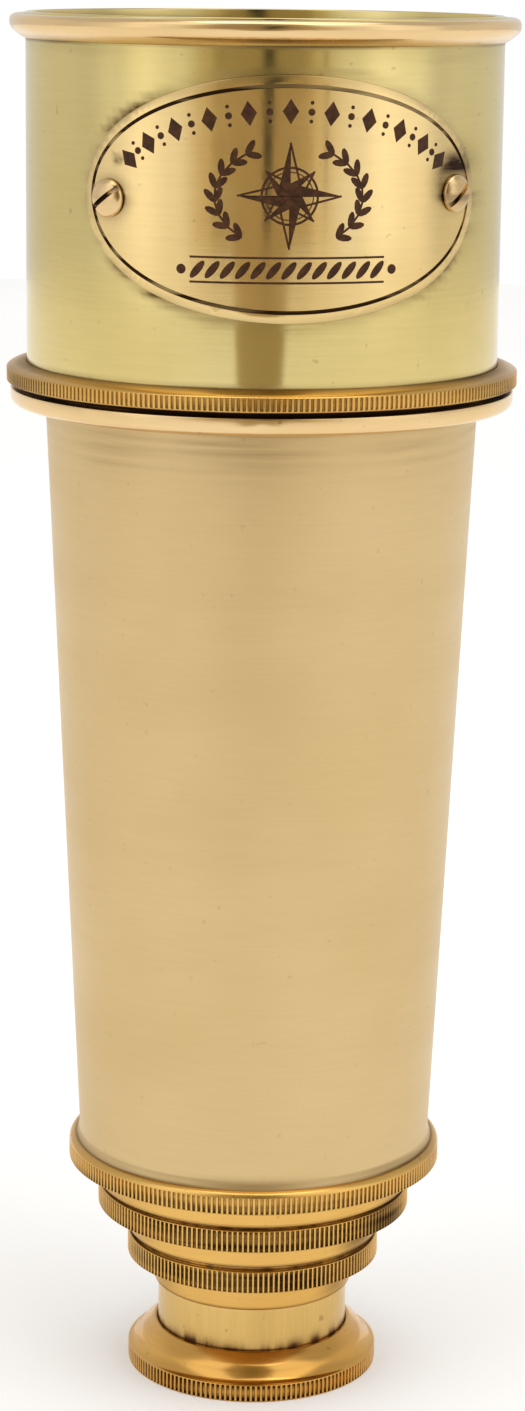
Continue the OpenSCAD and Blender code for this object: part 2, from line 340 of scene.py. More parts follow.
@dataclass(frozen=True)
class PaperFinish:
    """Matt seamless paper."""

    name: str
    pale: Colour = (0.90, 0.90, 0.895)
    paler: Colour = (0.93, 0.93, 0.925)
    glow: float = 0.0

    def build(self) -> bpy.types.Material:
        """Makes the node material.

        Returns:
            The material.
        """
        shelf = Shelf(self.name)
        patch = shelf.remap(shelf.noise(6.0, Grain.EVEN), 0.3, 0.7)
        shelf.link(shelf.blend(patch, self.pale, self.paler), shelf.shader.inputs["Base Color"])
        shelf.shader.inputs["Roughness"].default_value = 0.9
        shelf.shader.inputs["Emission Color"].default_value = (1.0, 1.0, 1.0, 1.0)
        shelf.shader.inputs["Emission Strength"].default_value = self.glow
        return shelf.material


class Palette:
    """All finishes of the telescope, built once, by material slot."""

    FINISHES = {
        "polished_brass": BrassFinish(
            "polished_brass", (0.745, 0.61, 0.27), (0.70, 0.555, 0.22), roughness=0.09,
            roughness_spread=0.04, line_contrast=0.05, tarnish_amount=0.10, speck_amount=0.22,
            dirt=(0.10, 0.050, 0.012)),
        "rosy_brass": BrassFinish(
            "rosy_brass", (0.83, 0.595, 0.31), (0.79, 0.555, 0.27), roughness=0.13,
            roughness_spread=0.07, tarnish_amount=0.15, line_contrast=0.06),
        "plate_brass": BrassFinish(
            "plate_brass", (0.86, 0.64, 0.30), (0.81, 0.59, 0.255), roughness=0.10,
            roughness_spread=0.05, tarnish_amount=0.10, line_contrast=0.05, speck_amount=0.2,
            dirt=(0.032, 0.014, 0.006), grime_and_shade_low=0.6),
        "satin_brass": BrassFinish(
            "satin_brass", (0.665, 0.49, 0.245), (0.635, 0.46, 0.22), roughness=0.33,
            roughness_spread=0.06, line_scale=3200.0, line_depth=1.6e-6, line_contrast=0.05,
            tarnish_amount=0.06, speck_amount=0.12, anisotropy=0.3,
            dirt=(0.16, 0.085, 0.026)),
        "golden_brass": BrassFinish(
            "golden_brass", (0.77, 0.435, 0.115), (0.70, 0.375, 0.085), roughness=0.15,
            roughness_spread=0.08, tarnish_amount=0.22, speck_amount=0.25),
        "knurled_brass": BrassFinish(
            "knurled_brass", (0.77, 0.465, 0.13), (0.70, 0.40, 0.10), roughness=0.20,
            roughness_spread=0.10, tarnish_amount=0.35, speck_amount=0.3,
            dirt=(0.040, 0.018, 0.007), grime_and_shade_low=0.6),
        "draw_brass": BrassFinish(
            "draw_brass", (0.735, 0.50, 0.18), (0.695, 0.46, 0.15), roughness=0.15,
            roughness_spread=0.06, grain=Grain.ALONG, tarnish_amount=0.15,
            dirt=(0.12, 0.05, 0.016)),
        "blackened_brass": BrassFinish(
            "blackened_brass", (0.05, 0.04, 0.032), (0.08, 0.065, 0.05), roughness=0.5,
            roughness_spread=0.15, tarnish_amount=0.2),
        "glass": GlassFinish("glass"),
        "engraving": FillFinish("engraving"),
    }

    def __init__(self) -> None:
        """Builds every finish."""
        self.materials = {slot: finish.build() for slot, finish in self.FINISHES.items()}

    def dress(self, piece: bpy.types.Object, slot: str) -> None:
        """Gives a piece one finish and no other.

        Args:
            piece: Object to dress.
            slot: Name of the finish.
        """
        if not piece.material_slots:
            piece.data.materials.append(self.materials[slot])
        for holder in piece.material_slots:
            holder.material = self.materials[slot]


# --- Workshop -----------------------------------------------------------------------------------


@dataclass(frozen=True)
class Corner:
    """A corner of a half outline, in millimetres from the axis and above the eyepiece rim."""

    r: float
    z: float
    soft: float = 0.0
    # Dirt and painted shade at the corner, 0 to 1.
    grime_and_shade: float = 0.0
    tooth: float = 0.0


class Outline:
    """A half outline that the lathe turns, listed anticlockwise or clockwise."""

    def __init__(self, open_at_axis: bool = False, round_steps: int = 5) -> None:
        """Starts an empty outline.

        Args:
            open_at_axis: True when the outline starts and ends on the axis.
            round_steps: Straight steps in each rounded corner.
        """
        self.corners: list[Corner] = []
        self.open_at_axis = open_at_axis
        self.round_steps = round_steps

    def to(self, r: float, z: float, soft: float = 0.0, grime_and_shade: float = 0.0,
           tooth: bool = False) -> "Outline":
        """Adds a corner.

        Args:
            r: Distance from the axis.
            z: Height.
            soft: How far from the corner its rounding starts.
            grime_and_shade: Dirt and painted shade at the corner, 0 to 1.
            tooth: True where knurl grooves are cut into the outline.

        Returns:
            The outline itself.
        """
        self.corners.append(Corner(r, z, soft, grime_and_shade, float(tooth)))
        return self

    def dome(self, edge_r: float, edge_z: float, curve: float, rise: float,
             inwards: bool = True, steps: int = 20) -> "Outline":
        """Adds a spherical face between the axis and its edge.

        Args:
            edge_r: Radius of the face's edge.
            edge_z: Height of the face's edge.
            curve: Radius of the sphere.
            rise: 1 when the middle is above the edge, -1 when it is below.
            inwards: True to run from the edge to the axis.
            steps: Number of straight steps.

        Returns:
            The outline itself.
        """
        def drop(r: float) -> float:
            return curve - math.sqrt(curve * curve - r * r)

        shares = [i / steps for i in range(steps + 1)]
        for share in reversed(shares) if inwards else shares:
            r = edge_r * share
            self.to(r, edge_z + rise * (drop(edge_r) - drop(r)))
        return self

    def points(self) -> list[Corner]:
        """All points of the outline, with its soft corners rounded.

        Returns:
            The points in order; a closed outline doesn't repeat its first point.
        """
        found: list[Corner] = []
        count = len(self.corners)
        for index, corner in enumerate(self.corners):
            at_end = self.open_at_axis and index in (0, count - 1)
            if corner.soft <= 0 or at_end:
                found.append(corner)
                continue
            before = self.corners[index - 1]
            after = self.corners[(index + 1) % count]
            found.extend(self._rounded(before, corner, after))
        return found

    def _rounded(self, before: Corner, corner: Corner, after: Corner) -> Iterable[Corner]:
        """Points of one rounded corner."""
        here = Vector((corner.r, corner.z))
        arms = []
        for other in (before, after):
            arm = Vector((other.r, other.z)) - here
            reach = min(corner.soft, arm.length * 0.48)
            arms.append(here + arm.normalized() * reach)
        for step in range(self.round_steps + 1):
            t = step / self.round_steps
            point = arms[0] * (1 - t) ** 2 + here * (2 * t * (1 - t)) + arms[1] * t * t
            yield Corner(point.x, point.y, 0.0, corner.grime_and_shade, corner.tooth)


def ease(share: float) -> float:
    """Smooths a share, so that it leaves 0 and reaches 1 gently; below 0 it stays 0."""
    share = max(0.0, share)
    return share * share * (3 - 2 * share)


def patch(value: float, middle: float, reach: float) -> float:
    """A soft patch: 1 in the middle, 0 at its reach and beyond.

    Args:
        value: Where to measure.
        middle: Middle of the patch.
        reach: How far it goes.

    Returns:
        The strength there.
    """
    return ease(1 - abs(value - middle) / reach)


@dataclass(frozen=True)
class Smudge:
    """Dirt on one side of a turned piece, by angles in degrees round from the front."""

    amount: float
    degrees: float
    reach: float


def smudged(degrees: float, smudges: Iterable[Smudge]) -> float:
    """Dirt that smudges leave together at one angle.

    Args:
        degrees: Angle round from the front.
        smudges: The smudges.

    Returns:
        The dirt there.
    """
    return sum(each.amount * patch(degrees, each.degrees, each.reach) for each in smudges)


@dataclass(frozen=True)
class Knurl:
    """A straight knurl: how its ridges and grooves share the pitch, in millimetres."""

    radius: float
    pitch: float = 0.575
    depth: float = 0.17
    groove_share: float = 0.46
    flank_share: float = 0.10
    crown: float = 0.02
    # Grime and painted shade in the grooves, at the ring's top and at its foot, 0 to 1.
    grime_and_shade_top: float = 1.0
    grime_and_shade_foot: float = 1.0

    @property
    def teeth(self) -> int:
        """Number of ridges round the ring."""
        return round(FULL_TURN * self.radius / self.pitch)

    @property
    def steps(self) -> list[float]:
        """Angles from one column of the pattern to the next, starting at a groove's edge."""
        whole = FULL_TURN / self.teeth
        ridge = 1 - self.groove_share - 2 * self.flank_share
        shares = [self.groove_share, self.flank_share, ridge / 2, ridge / 2, self.flank_share]
        return [whole * share for share in shares]


class Bench:
    """Hand tools: everything that works on the one piece in edit mode."""

    @staticmethod
    def clear() -> None:
        """Deselects every object."""
        bpy.ops.object.select_all(action="DESELECT")

    @staticmethod
    def only(piece: bpy.types.Object) -> None:
        """Makes a piece the one selected and active object."""
        Bench.clear()
        piece.select_set(True)
        bpy.context.view_layer.objects.active = piece

    @staticmethod
    def edit(piece: bpy.types.Object) -> None:
        """Enters edit mode on a piece, picking vertices."""
        Bench.only(piece)
        bpy.ops.object.mode_set(mode="EDIT")
        bpy.ops.mesh.select_mode(type="VERT")

    @staticmethod
    def edit_all(piece: bpy.types.Object) -> None:
        """Enters edit mode on a piece with all of it selected."""
        Bench.edit(piece)
        bpy.ops.mesh.select_all(action="SELECT")

    @staticmethod
    def leave() -> None:
        """Goes back to object mode."""
        bpy.ops.object.mode_set(mode="OBJECT")

    @staticmethod
    def close(piece: bpy.types.Object, reach: float = 1.5e-6) -> None:
        """Merges doubled points and turns every face outwards.

        Args:
            piece: Piece to close.
            reach: Points nearer than this become one.
        """
        Bench.edit_all(piece)
        bpy.ops.mesh.remove_doubles(threshold=reach)
        bpy.ops.mesh.normals_make_consistent(inside=False)
        Bench.leave()

    @staticmethod
    def smooth(piece: bpy.types.Object, degrees: float = 32.0) -> None:
        """Shades smooth across edges flatter than an angle."""
        Bench.only(piece)
        bpy.ops.object.shade_smooth_by_angle(angle=math.radians(degrees))

    @staticmethod
    def named(name: str) -> bpy.types.Object:
        """Names the object that was just added, and its mesh."""
        piece = bpy.context.active_object
        piece.name = name
        piece.data.name = name
        return piece

    @staticmethod
    def apply(piece: bpy.types.Object) -> None:
        """Puts a piece's place, turn and scale into its mesh."""
        Bench.only(piece)
        bpy.ops.object.transform_apply(location=True, rotation=True, scale=True)

    @staticmethod
    def join(name: str, pieces: list[bpy.types.Object]) -> bpy.types.Object:
        """Joins pieces into the first one.

        Args:
            name: Name of the result.
            pieces: Objects to join.

        Returns:
            The joined object.
        """
        Bench.clear()
        for piece in pieces:
            piece.select_set(True)
        bpy.context.view_layer.objects.active = pieces[0]
        bpy.ops.object.join()
        return Bench.named(name)

    @staticmethod
    def mark(piece: bpy.types.Object, rule: Callable[[Vector], float], name: str = GRIME_AND_SHADE) -> None:
        """Stores a value for each point of a piece by a rule on its place.

        Args:
            piece: Piece to mark.
            rule: Gives the value at a point, in metres.
            name: Name of the stored attribute.
        """
        store = piece.data.attributes.get(name)
        if store is None:
            store = piece.data.attributes.new(name, "FLOAT", "POINT")
        for vertex in piece.data.vertices:
            store.data[vertex.index].value = rule(vertex.co)

    @staticmethod
    def stain(piece: bpy.types.Object, rule: Callable[[float, float, float], float]) -> None:
        """Adds to a turned piece's grime and painted shade by a rule on its place.

        Args:
            piece: Piece to stain.
            rule: Gives the added grime and shade from the angle in degrees round from the front,
            the height and the radius in millimetres.
        """
        store = piece.data.attributes[GRIME_AND_SHADE]
        for vertex in piece.data.vertices:
            x, y, z = vertex.co
            degrees = math.degrees(math.atan2(x, -y))
            added = rule(degrees, z / MM, math.hypot(x, y) / MM)
            if added > 0:
                held = store.data[vertex.index].value
                store.data[vertex.index].value = min(1.0, held + added)

    @staticmethod
    def dent(piece: bpy.types.Object, spot: Vector, push: Vector, reach: float) -> None:
        """Pushes a soft dent into a piece.

        Args:
            piece: Piece to dent.
            spot: Middle of the dent.
            push: How far its middle moves.
            reach: Radius of the dent.
        """
        for vertex in piece.data.vertices:
            share = 1 - (vertex.co - spot).length / reach
            if share > 0:
                vertex.co += push * ease(share)


class Lathe:
    """Turns half outlines about the optical axis."""

    def __init__(self, segments: int = 192) -> None:
        """Sets up the lathe.

        Args:
            segments: Straight steps in a full turn of a plain piece.
        """
        self.segments = segments

    def _profile(self, name: str, outline: Outline) -> bpy.types.Object:
        """Draws an outline as a chain of edges and stores its grime, shade and tooth marks."""
        points = outline.points()
        chain = points if outline.open_at_axis else [*points, points[0]]
        Bench.clear()
        bpy.ops.mesh.primitive_plane_add(size=MM, location=CENTRE)
        piece = Bench.named(name)
        Bench.edit_all(piece)
        bpy.ops.mesh.merge(type="CENTER")
        bpy.ops.transform.translate(value=(chain[0].r * MM, 0.0, chain[0].z * MM))
        for start, end in zip(chain, chain[1:]):
            step = ((end.r - start.r) * MM, 0.0, (end.z - start.z) * MM)
            bpy.ops.mesh.extrude_region_move(TRANSFORM_OT_translate={"value": step})
        bpy.ops.mesh.select_all(action="SELECT")
        bpy.ops.mesh.remove_doubles(threshold=1e-7)
        Bench.leave()

        def nearest(place: Vector) -> Corner:
            return min(points, key=lambda p: (p.r * MM - place.x) ** 2 + (p.z * MM - place.z) ** 2)

        Bench.mark(piece, lambda place: nearest(place).grime_and_shade)
        Bench.mark(piece, lambda place: nearest(place).tooth, TOOTH)
        return piece

    def turn(self, name: str, outline: Outline) -> bpy.types.Object:
        """Turns a plain piece.

        Args:
            name: Name of the piece.
            outline: Its half outline.

        Returns:
            The closed, smooth piece.
        """
        piece = self._profile(name, outline)
        Bench.edit_all(piece)
        bpy.ops.mesh.spin(steps=self.segments, angle=FULL_TURN, center=CENTRE, axis=AXIS)
        Bench.leave()
        Bench.close(piece)
        Bench.smooth(piece)
        return piece

    def knurl(self, name: str, outline: Outline, knurl: Knurl) -> bpy.types.Object:
        """Turns a piece and cuts a straight knurl where its outline says tooth.

        Args:
            name: Name of the piece.
            outline: Its half outline, at the height of the ridges.
            knurl: Form of the teeth.

        Returns:
            The closed, smooth piece.
        """
        piece = self._profile(name, outline)
        Bench.edit_all(piece)
        for angle in knurl.steps:
            bpy.ops.mesh.spin(steps=1, angle=angle, center=CENTRE, axis=AXIS)
        Bench.leave()
        self._shape_tooth(piece, knurl)
        pitch = FULL_TURN / knurl.teeth
        Bench.edit_all(piece)
        bpy.ops.mesh.spin(steps=knurl.teeth - 1, dupli=True, angle=FULL_TURN - pitch,
                          center=CENTRE, axis=AXIS)
        Bench.leave()
        Bench.close(piece)
        Bench.smooth(piece)
        return piece

    def _shape_tooth(self, piece: bpy.types.Object, knurl: Knurl) -> None:
        """Sinks the groove of the one modelled tooth, paints grime and shade in it, lifts the
        crown.
        """
        tooth = piece.data.attributes[TOOTH]
        grime_and_shade = piece.data.attributes[GRIME_AND_SHADE]
        steps = knurl.steps
        direction = self._sense(piece)
        heights = [vertex.co.z for vertex in piece.data.vertices
                   if tooth.data[vertex.index].value > 0.5]
        foot, span = min(heights), max(heights) - min(heights)
        crown_angle = steps[0] + steps[1] + steps[2]
        slack = steps[0] * 0.1
        whole = sum(steps)
        for vertex in piece.data.vertices:
            if tooth.data[vertex.index].value < 0.5:
                continue
            angle = math.atan2(vertex.co.y, vertex.co.x) * direction
            in_groove = angle < steps[0] + slack or angle > whole - slack
            on_crown = abs(angle - crown_angle) < slack
            change = -knurl.depth if in_groove else knurl.crown * 0.5 if on_crown else 0.0
            reach = math.hypot(vertex.co.x, vertex.co.y)
            grow = (reach + change * MM) / reach
            vertex.co.x *= grow
            vertex.co.y *= grow
            if in_groove:
                share = (vertex.co.z - foot) / span
                grime_and_shade_level = knurl.grime_and_shade_foot + (knurl.grime_and_shade_top - knurl.grime_and_shade_foot) * share
                grime_and_shade.data[vertex.index].value = grime_and_shade_level

    @staticmethod
    def _sense(piece: bpy.types.Object) -> float:
        """1 when the spin ran anticlockwise seen from above, else -1."""
        furthest = max(piece.data.vertices, key=lambda vertex: abs(vertex.co.y))
        return 1.0 if furthest.co.y > 0 else -1.0


@dataclass(frozen=True)
class Span:
    """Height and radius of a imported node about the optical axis, in millimetres."""

    low: float
    high: float
    radius: float

    @classmethod
    def of(cls, node: str) -> "Span":
        """Measures a node.

        Args:
            node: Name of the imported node.

        Returns:
            Its span.
        """
        low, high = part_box(node)
        return cls(low.z / MM, high.z / MM, high.x / MM)


class Assembly:
    """Base of the telescope's sub-assemblies: turns, dresses and mounts its pieces."""

    RECORD_SLOTS = {"plate_brass": "rosy_brass", "engraving": "blackened_brass"}

    def __init__(self, palette: Palette, body: str) -> None:
        """Sets up the sub-assembly.

        Args:
            palette: The finishes.
            body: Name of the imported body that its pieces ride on.
        """
        self.palette = palette
        self.body = body
        self.lathe = Lathe()

    def mount(self, piece: bpy.types.Object, slot: str, *nodes: str,
              body: str | None = None) -> bpy.types.Object:
        """Dresses a piece and fixes it to its body.

        Args:
            piece: The finished mesh.
            slot: Its material slot.
            nodes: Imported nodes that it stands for.
            body: Body to ride on, when it isn't the assembly's own.

        Returns:
            The piece.
        """
        self.palette.dress(piece, slot)
        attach(piece, body or self.body)
        self.RECORD_SLOTS.get(slot, slot)
        if nodes:
            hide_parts(*nodes)
        log.info("%s rides on %s", piece.name, body or self.body)
        return piece


# --- Sub-assemblies -----------------------------------------------------------------------------


@dataclass(frozen=True)
class Oval:
    """Place of the oval plate on the sunshade tube, in millimetres."""

    tube_r: float
    face_r: float
    turn: float
    half_length: float
    half_height: float
    middle_z: float

    @classmethod
    def of_plate(cls) -> "Oval":
        """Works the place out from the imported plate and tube."""
        low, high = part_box("nameplate")
        tube_r = Span.of("sunshade_tube").radius
        face_r = tube_r + PLATE_THICKNESS
        left, right = (math.asin(corner.x / MM / face_r) for corner in (low, high))
        return cls(tube_r, face_r, (left + right) / 2, (right - left) / 2 * face_r,
                   (high.z - low.z) / 2 / MM, (high.z + low.z) / 2 / MM)

    def flat(self, degrees: float, z: float) -> tuple[float, float]:
        """Place on the unrolled plate of a spot round the tube."""
        return (math.radians(degrees) - self.turn) * self.face_r, z - self.middle_z

    def gap(self, x: float, y: float) -> float:
        """Rough distance from a spot to the plate's edge, 0 under the plate."""
        share = math.hypot(x / self.half_length, y / self.half_height)
        return max(0.0, (1 - 1 / share) * math.hypot(x, y)) if share > 0 else 0.0


@dataclass
class Sunshade:
    """Sunshade tube with its bead ring, and the knurled collar that it stands in."""

    palette: Palette
    wall: float = 0.7
    row_step: float = 0.85
    knurl_depth: float = 0.12
    skirt: float = 21.95
    skirt_wall: float = 1.2
    collar_dirt: tuple[Smudge, ...] = (Smudge(0.42, -72, 30), Smudge(0.42, 66, 26))
    halo_dirt: tuple[Smudge, ...] = (
        Smudge(1.0, 142, 26), Smudge(1.2, -128, 30), Smudge(0.8, -38, 22), Smudge(0.5, 60, 22))
    halo_floor: float = 0.28
    halo_reach: float = 1.5
    screw_halo_reach: float = 7.0

    def build(self) -> None:
        """Builds every piece."""
        shop = Assembly(self.palette, "sunshade")
        tube = Span.of("sunshade_tube")
        bead = Span.of("front_bead_ring")
        collar = Span.of("objective_collar")
        barrel = shop.lathe.turn("sunshade_barrel", self._tube(tube))
        plate = Oval.of_plate()
        Bench.stain(barrel, lambda degrees, z, r: self._halo(plate, degrees, z, r))
        shop.mount(barrel, "polished_brass", "sunshade_tube")
        shop.mount(shop.lathe.turn("mouth_bead", self._bead(bead, tube)), "rosy_brass",
                   "front_bead_ring")
        knurl = Knurl(collar.radius, depth=self.knurl_depth, groove_share=0.34,
                      flank_share=0.12, grime_and_shade_top=0.5, grime_and_shade_foot=0.7)
        ring = shop.lathe.knurl("collar_ring", self._collar(collar, tube), knurl)
        Bench.stain(ring, lambda degrees, z, r: smudged(degrees, self.collar_dirt))
        shop.mount(ring, "knurled_brass", "objective_collar")

    def _tube(self, tube: Span) -> Outline:
        """Outline of the sunshade tube, with rows close enough to carry the plate's halo."""
        inner = tube.radius - self.wall
        outline = (Outline().to(tube.radius, tube.low, 0.05, 0.9)
                   .to(tube.radius, tube.low + 2.35, 0.0, 0.9)
                   .to(tube.radius, tube.low + 2.6, 0.0, 0.25).to(tube.radius, tube.low + 3.1))
        row = tube.low + 4.0
        while row < tube.high - 4.0:
            outline.to(tube.radius, row)
            row += self.row_step
        # Grime with painted shade: a shadow line under the bead, and the inside darker towards the
        # lens.
        return (outline.to(tube.radius, tube.high - 3.1, 0.0, 0.12)
                .to(tube.radius, tube.high - 2.7, 0.0, 0.9).to(tube.radius, tube.high, 0.15)
                .to(inner, tube.high, 0.15, 0.1).to(inner, tube.high - 2.0, 0.0, 0.55)
                .to(inner, tube.low + 3.0, 0.0, 0.8).to(inner, tube.low, 0.0, 0.9))

    def _halo(self, plate: Oval, degrees: float, z: float, r: float) -> float:
        """Old polish and tarnish on the tube round the plate and its right screw.

        Args:
            plate: Place of the plate.
            degrees: Angle round from the front.
            z: Height in millimetres.
            r: Radius in millimetres.

        Returns:
            The added dirt.
        """
        if r < plate.tube_r - 0.1:
            return 0.0
        x, y = plate.flat(degrees, z)
        gap = plate.gap(x, y)
        around = math.degrees(math.atan2(y / plate.half_height, x / plate.half_length))
        patches = self.halo_floor + smudged(around, self.halo_dirt)
        rim = patch(gap, 0.0, self.halo_reach) * min(1.0, patches)
        right = patch(math.hypot(x - plate.half_length + 1.6, y + 0.2), 0.0,
                      self.screw_halo_reach)
        return rim + 0.75 * right

    def _bead(self, bead: Span, tube: Span) -> Outline:
        """Outline of the bead ring: a flat top, a full round front and a tapered foot."""
        out = bead.radius
        return (Outline()
                # Grime with painted shadow at the foot, under the bead's overhang.
                .to(tube.radius, bead.low, 0.05, 0.8)
                .to(tube.radius + 0.55, bead.low + 0.30, 0.2, 0.3)
                .to(out - 0.30, bead.low + 0.95, 0.35).to(out, bead.low + 1.45, 0.3)
                .to(out, bead.high - 0.42, 0.35).to(out - 0.42, bead.high, 0.3)
                .to(tube.radius + 0.28, bead.high, 0.06, 0.1)
                .to(tube.radius + 0.10, bead.high - 0.2, 0.04, 1.0)
                .to(tube.radius, bead.high - 0.1, 0.0, 1.0))

    def _collar(self, collar: Span, tube: Span) -> Outline:
        """Outline of the collar: shoulder, knurled band, neck and threaded skirt."""
        rim = collar.radius
        base = collar.high - 2.2
        seat = tube.low
        return (Outline(round_steps=2)
                .to(tube.radius + 0.02, collar.high - 0.1, 0.0, 1.0)
                .to(tube.radius + 0.12, collar.high, 0.06, 0.5)
                .to(rim - 0.42, collar.high - 0.34, 0.2)
                .to(rim, collar.high - 0.62, 0.12)
                .to(rim, collar.high - 0.72, 0.03, 0.0, True)
                .to(rim, base + 0.28, 0.03, 0.0, True)
                # Grime and painted shade on the underside, which faces the dark gap above the
                # flange.
                .to(rim, base + 0.14, 0.05, 0.2).to(rim - 0.2, base, 0.08, 0.7)
                .to(tube.radius + 0.6, base, 0.0, 1.0)
                .to(tube.radius + 0.6, seat - 0.28, 0.0, 1.0)
                .to(self.skirt, seat - 0.28, 0.0, 1.0).to(self.skirt, collar.low, 0.2, 0.5)
                .to(self.skirt - self.skirt_wall, collar.low, 0.0, 0.6)
                .to(self.skirt - self.skirt_wall, seat, 0.1, 0.5)
                .to(tube.radius, seat, 0.0, 0.8))


@dataclass
class Nameplate:
    """Curved oval plate with an engraved border and compass rose, and its two screws."""

    palette: Palette
    steps: int = 168
    thickness: float = PLATE_THICKNESS
    edge_round: float = 0.14
    border_in: float = 0.92
    border_wide: float = 0.40
    groove: float = 0.1
    screw_margin: float = 3.3
    screw_offset: float = 0.3
    fill_proud: float = 0.012
    wrap_step: float = 0.7
    slot_turns: tuple[float, float] = (35.0, 40.0)
    screw_dirt: tuple[float, float] = (0.0, 0.42)
    rose_z: float = 0.4
    short_point: tuple[float, float] = (3.5, 1.25)
    long_point: tuple[float, float] = (5.3, 1.5)
    wreath: tuple[float, float] = (7.6, 5.2)
    leaf: tuple[float, float] = (0.86, 0.36)
    leaf_reach: float = 0.72
    leaf_spread: float = 0.62
    arc: tuple[float, float] = (18.6, 8.75)
    lozenge: tuple[float, float] = (0.82, 1.25)
    rope_z: float = -7.0
    rope_step: float = 1.55
    rope_strand: tuple[float, float] = (1.12, 0.40)
    rope_lean: float = 50.0
    line_width: float = 0.22
    hair_width: float = 0.12
    fill_pieces: list[bpy.types.Object] = field(default_factory=list)

    def __post_init__(self) -> None:
        """Takes over the plate's place."""
        place = Oval.of_plate()
        self.tube_r, self.face_r, self.turn = place.tube_r, place.face_r, place.turn
        self.half_length, self.half_height = place.half_length, place.half_height
        self.middle_z = place.middle_z

    def build(self) -> None:
        """Builds the plate, its engraving and its screws."""
        shop = Assembly(self.palette, "sunshade")
        shop.mount(self._plate(), "plate_brass", "nameplate")
        shop.mount(self._engraving(), "engraving")
        shop.mount(self._screws(), "rosy_brass", "nameplate_screws")

    def _wrap(self, piece: bpy.types.Object) -> None:
        """Bends a flat piece round the tube: X goes round, Y up and Z outwards."""
        for vertex in piece.data.vertices:
            angle = self.turn + vertex.co.x / (self.face_r * MM)
            reach = self.tube_r * MM + vertex.co.z
            height = self.middle_z * MM + vertex.co.y
            vertex.co = (reach * math.sin(angle), -reach * math.cos(angle), height)

    def _loop_to(self, inset: float, height: float,
                 now: tuple[float, float]) -> tuple[float, float]:
        """Extrudes the selected oval loop to a new inset and height.

        Args:
            inset: Distance in from the plate's edge.
            height: Height over the tube.
            now: Inset and height of the selected loop.

        Returns:
            The new inset and height.
        """
        rise = (height - now[1]) * MM
        bpy.ops.mesh.extrude_region_move(TRANSFORM_OT_translate={"value": (0.0, 0.0, rise)})
        grow_x = (self.half_length - inset) / (self.half_length - now[0])
        grow_y = (self.half_height - inset) / (self.half_height - now[0])
        bpy.ops.transform.resize(value=(grow_x, grow_y, 1.0), center_override=CENTRE)
        return inset, height

    def _plate(self) -> bpy.types.Object:
        """The oval plate with rounded edge and border groove."""
        Bench.clear()
        bpy.ops.mesh.primitive_circle_add(vertices=self.steps, radius=self.half_length * MM)
        plate = Bench.named("oval_plate")
        Bench.edit_all(plate)
        squash = self.half_height / self.half_length
        bpy.ops.transform.resize(value=(1.0, squash, 1.0), center_override=CENTRE)
        top = self.thickness
        line = self.border_in
        rings = [(0.0, top - self.edge_round), (self.edge_round * 0.3, top - self.edge_round * 0.3),
                 (self.edge_round, top), (line, top), (line + 0.03, top - self.groove),
                 (line + self.border_wide - 0.03, top - self.groove),
                 (line + self.border_wide, top)]
        inset = line + self.border_wide
        while inset < self.half_height - 1.6:
            inset += 1.2
            rings.append((inset, top))
        now = (0.0, 0.0)
        for ring in rings:
            now = self._loop_to(*ring, now)
        bpy.ops.mesh.edge_face_add()
        Bench.leave()
        first_cut = self.wrap_step - self.half_length
        self._slice(plate, first_cut)
        self._close_back(plate)
        self._slice(plate, first_cut)
        self._wrap(plate)
        Bench.close(plate)
        Bench.mark(plate, self._plate_grime)
        Bench.smooth(plate, 40.0)
        return plate

    def _slice(self, piece: bpy.types.Object, start: float) -> None:
        """Cuts a flat piece across in even steps, so that it can bend.

        Args:
            piece: Piece to cut.
            start: Place of the first cut, in millimetres from the plate's middle.
        """
        Bench.edit(piece)
        cut = start
        while cut < self.half_length:
            bpy.ops.mesh.select_all(action="SELECT")
            bpy.ops.mesh.bisect(plane_co=(cut * MM, 0.0, 0.0), plane_no=(1.0, 0.0, 0.0))
            cut += self.wrap_step
        Bench.leave()

    def _close_back(self, plate: bpy.types.Object) -> None:
        """Closes the back, which lies on the tube."""
        Bench.edit(plate)
        bpy.ops.mesh.select_all(action="DESELECT")
        bpy.ops.mesh.select_non_manifold()
        bpy.ops.mesh.edge_face_add()
        bpy.ops.mesh.select_all(action="SELECT")
        bpy.ops.mesh.dissolve_degenerate(threshold=1e-7)
        Bench.leave()

    def _plate_grime(self, place: Vector) -> float:
        """Dirt on the plate: at its rim, in the border line and round the screws."""
        reach = math.hypot(place.x, place.y) / MM
        angle = math.atan2(place.x, -place.y) - self.turn
        x = angle * self.face_r
        y = place.z / MM - self.middle_z
        share = math.hypot(x / self.half_length, y / self.half_height)
        if reach < self.face_r - 0.06:
            return 1.0 if share < 0.985 else 0.5
        lever = self.half_length - self.screw_margin
        right = patch(math.hypot(x - lever + 0.3, y - self.screw_offset - 1.2), 0.0, 4.2)
        left = patch(math.hypot(x + lever - 0.3, y + self.screw_offset), 0.0, 3.4)
        nick = patch(math.hypot(x + lever - 1.2, y - 3.6), 0.0, 0.9)
        rim = max(0.0, (share - 0.975) / 0.025) * 0.45
        return min(1.0, 2.0 * right + 0.9 * left + nick + rim)

    # Engraving ----------------------------------------------------------------------------------

    def _flat(self, corners: int, size: tuple[float, float], place: tuple[float, float],
              degrees: float = 0.0) -> None:
        """Adds one flat shape of the engraving.

        Args:
            corners: Number of corners; 4 makes a lozenge.
            size: Half width and half height.
            place: Middle of the shape from the plate's middle.
            degrees: Anticlockwise turn.
        """
        Bench.clear()
        bpy.ops.mesh.primitive_circle_add(vertices=corners, radius=MM, fill_type="NGON")
        shape = Bench.named("fill")
        shape.scale = (size[0], size[1], 1.0)
        shape.rotation_euler = (0.0, 0.0, math.radians(degrees))
        shape.location = (place[0] * MM, place[1] * MM, 0.0)
        Bench.apply(shape)
        self.fill_pieces.append(shape)

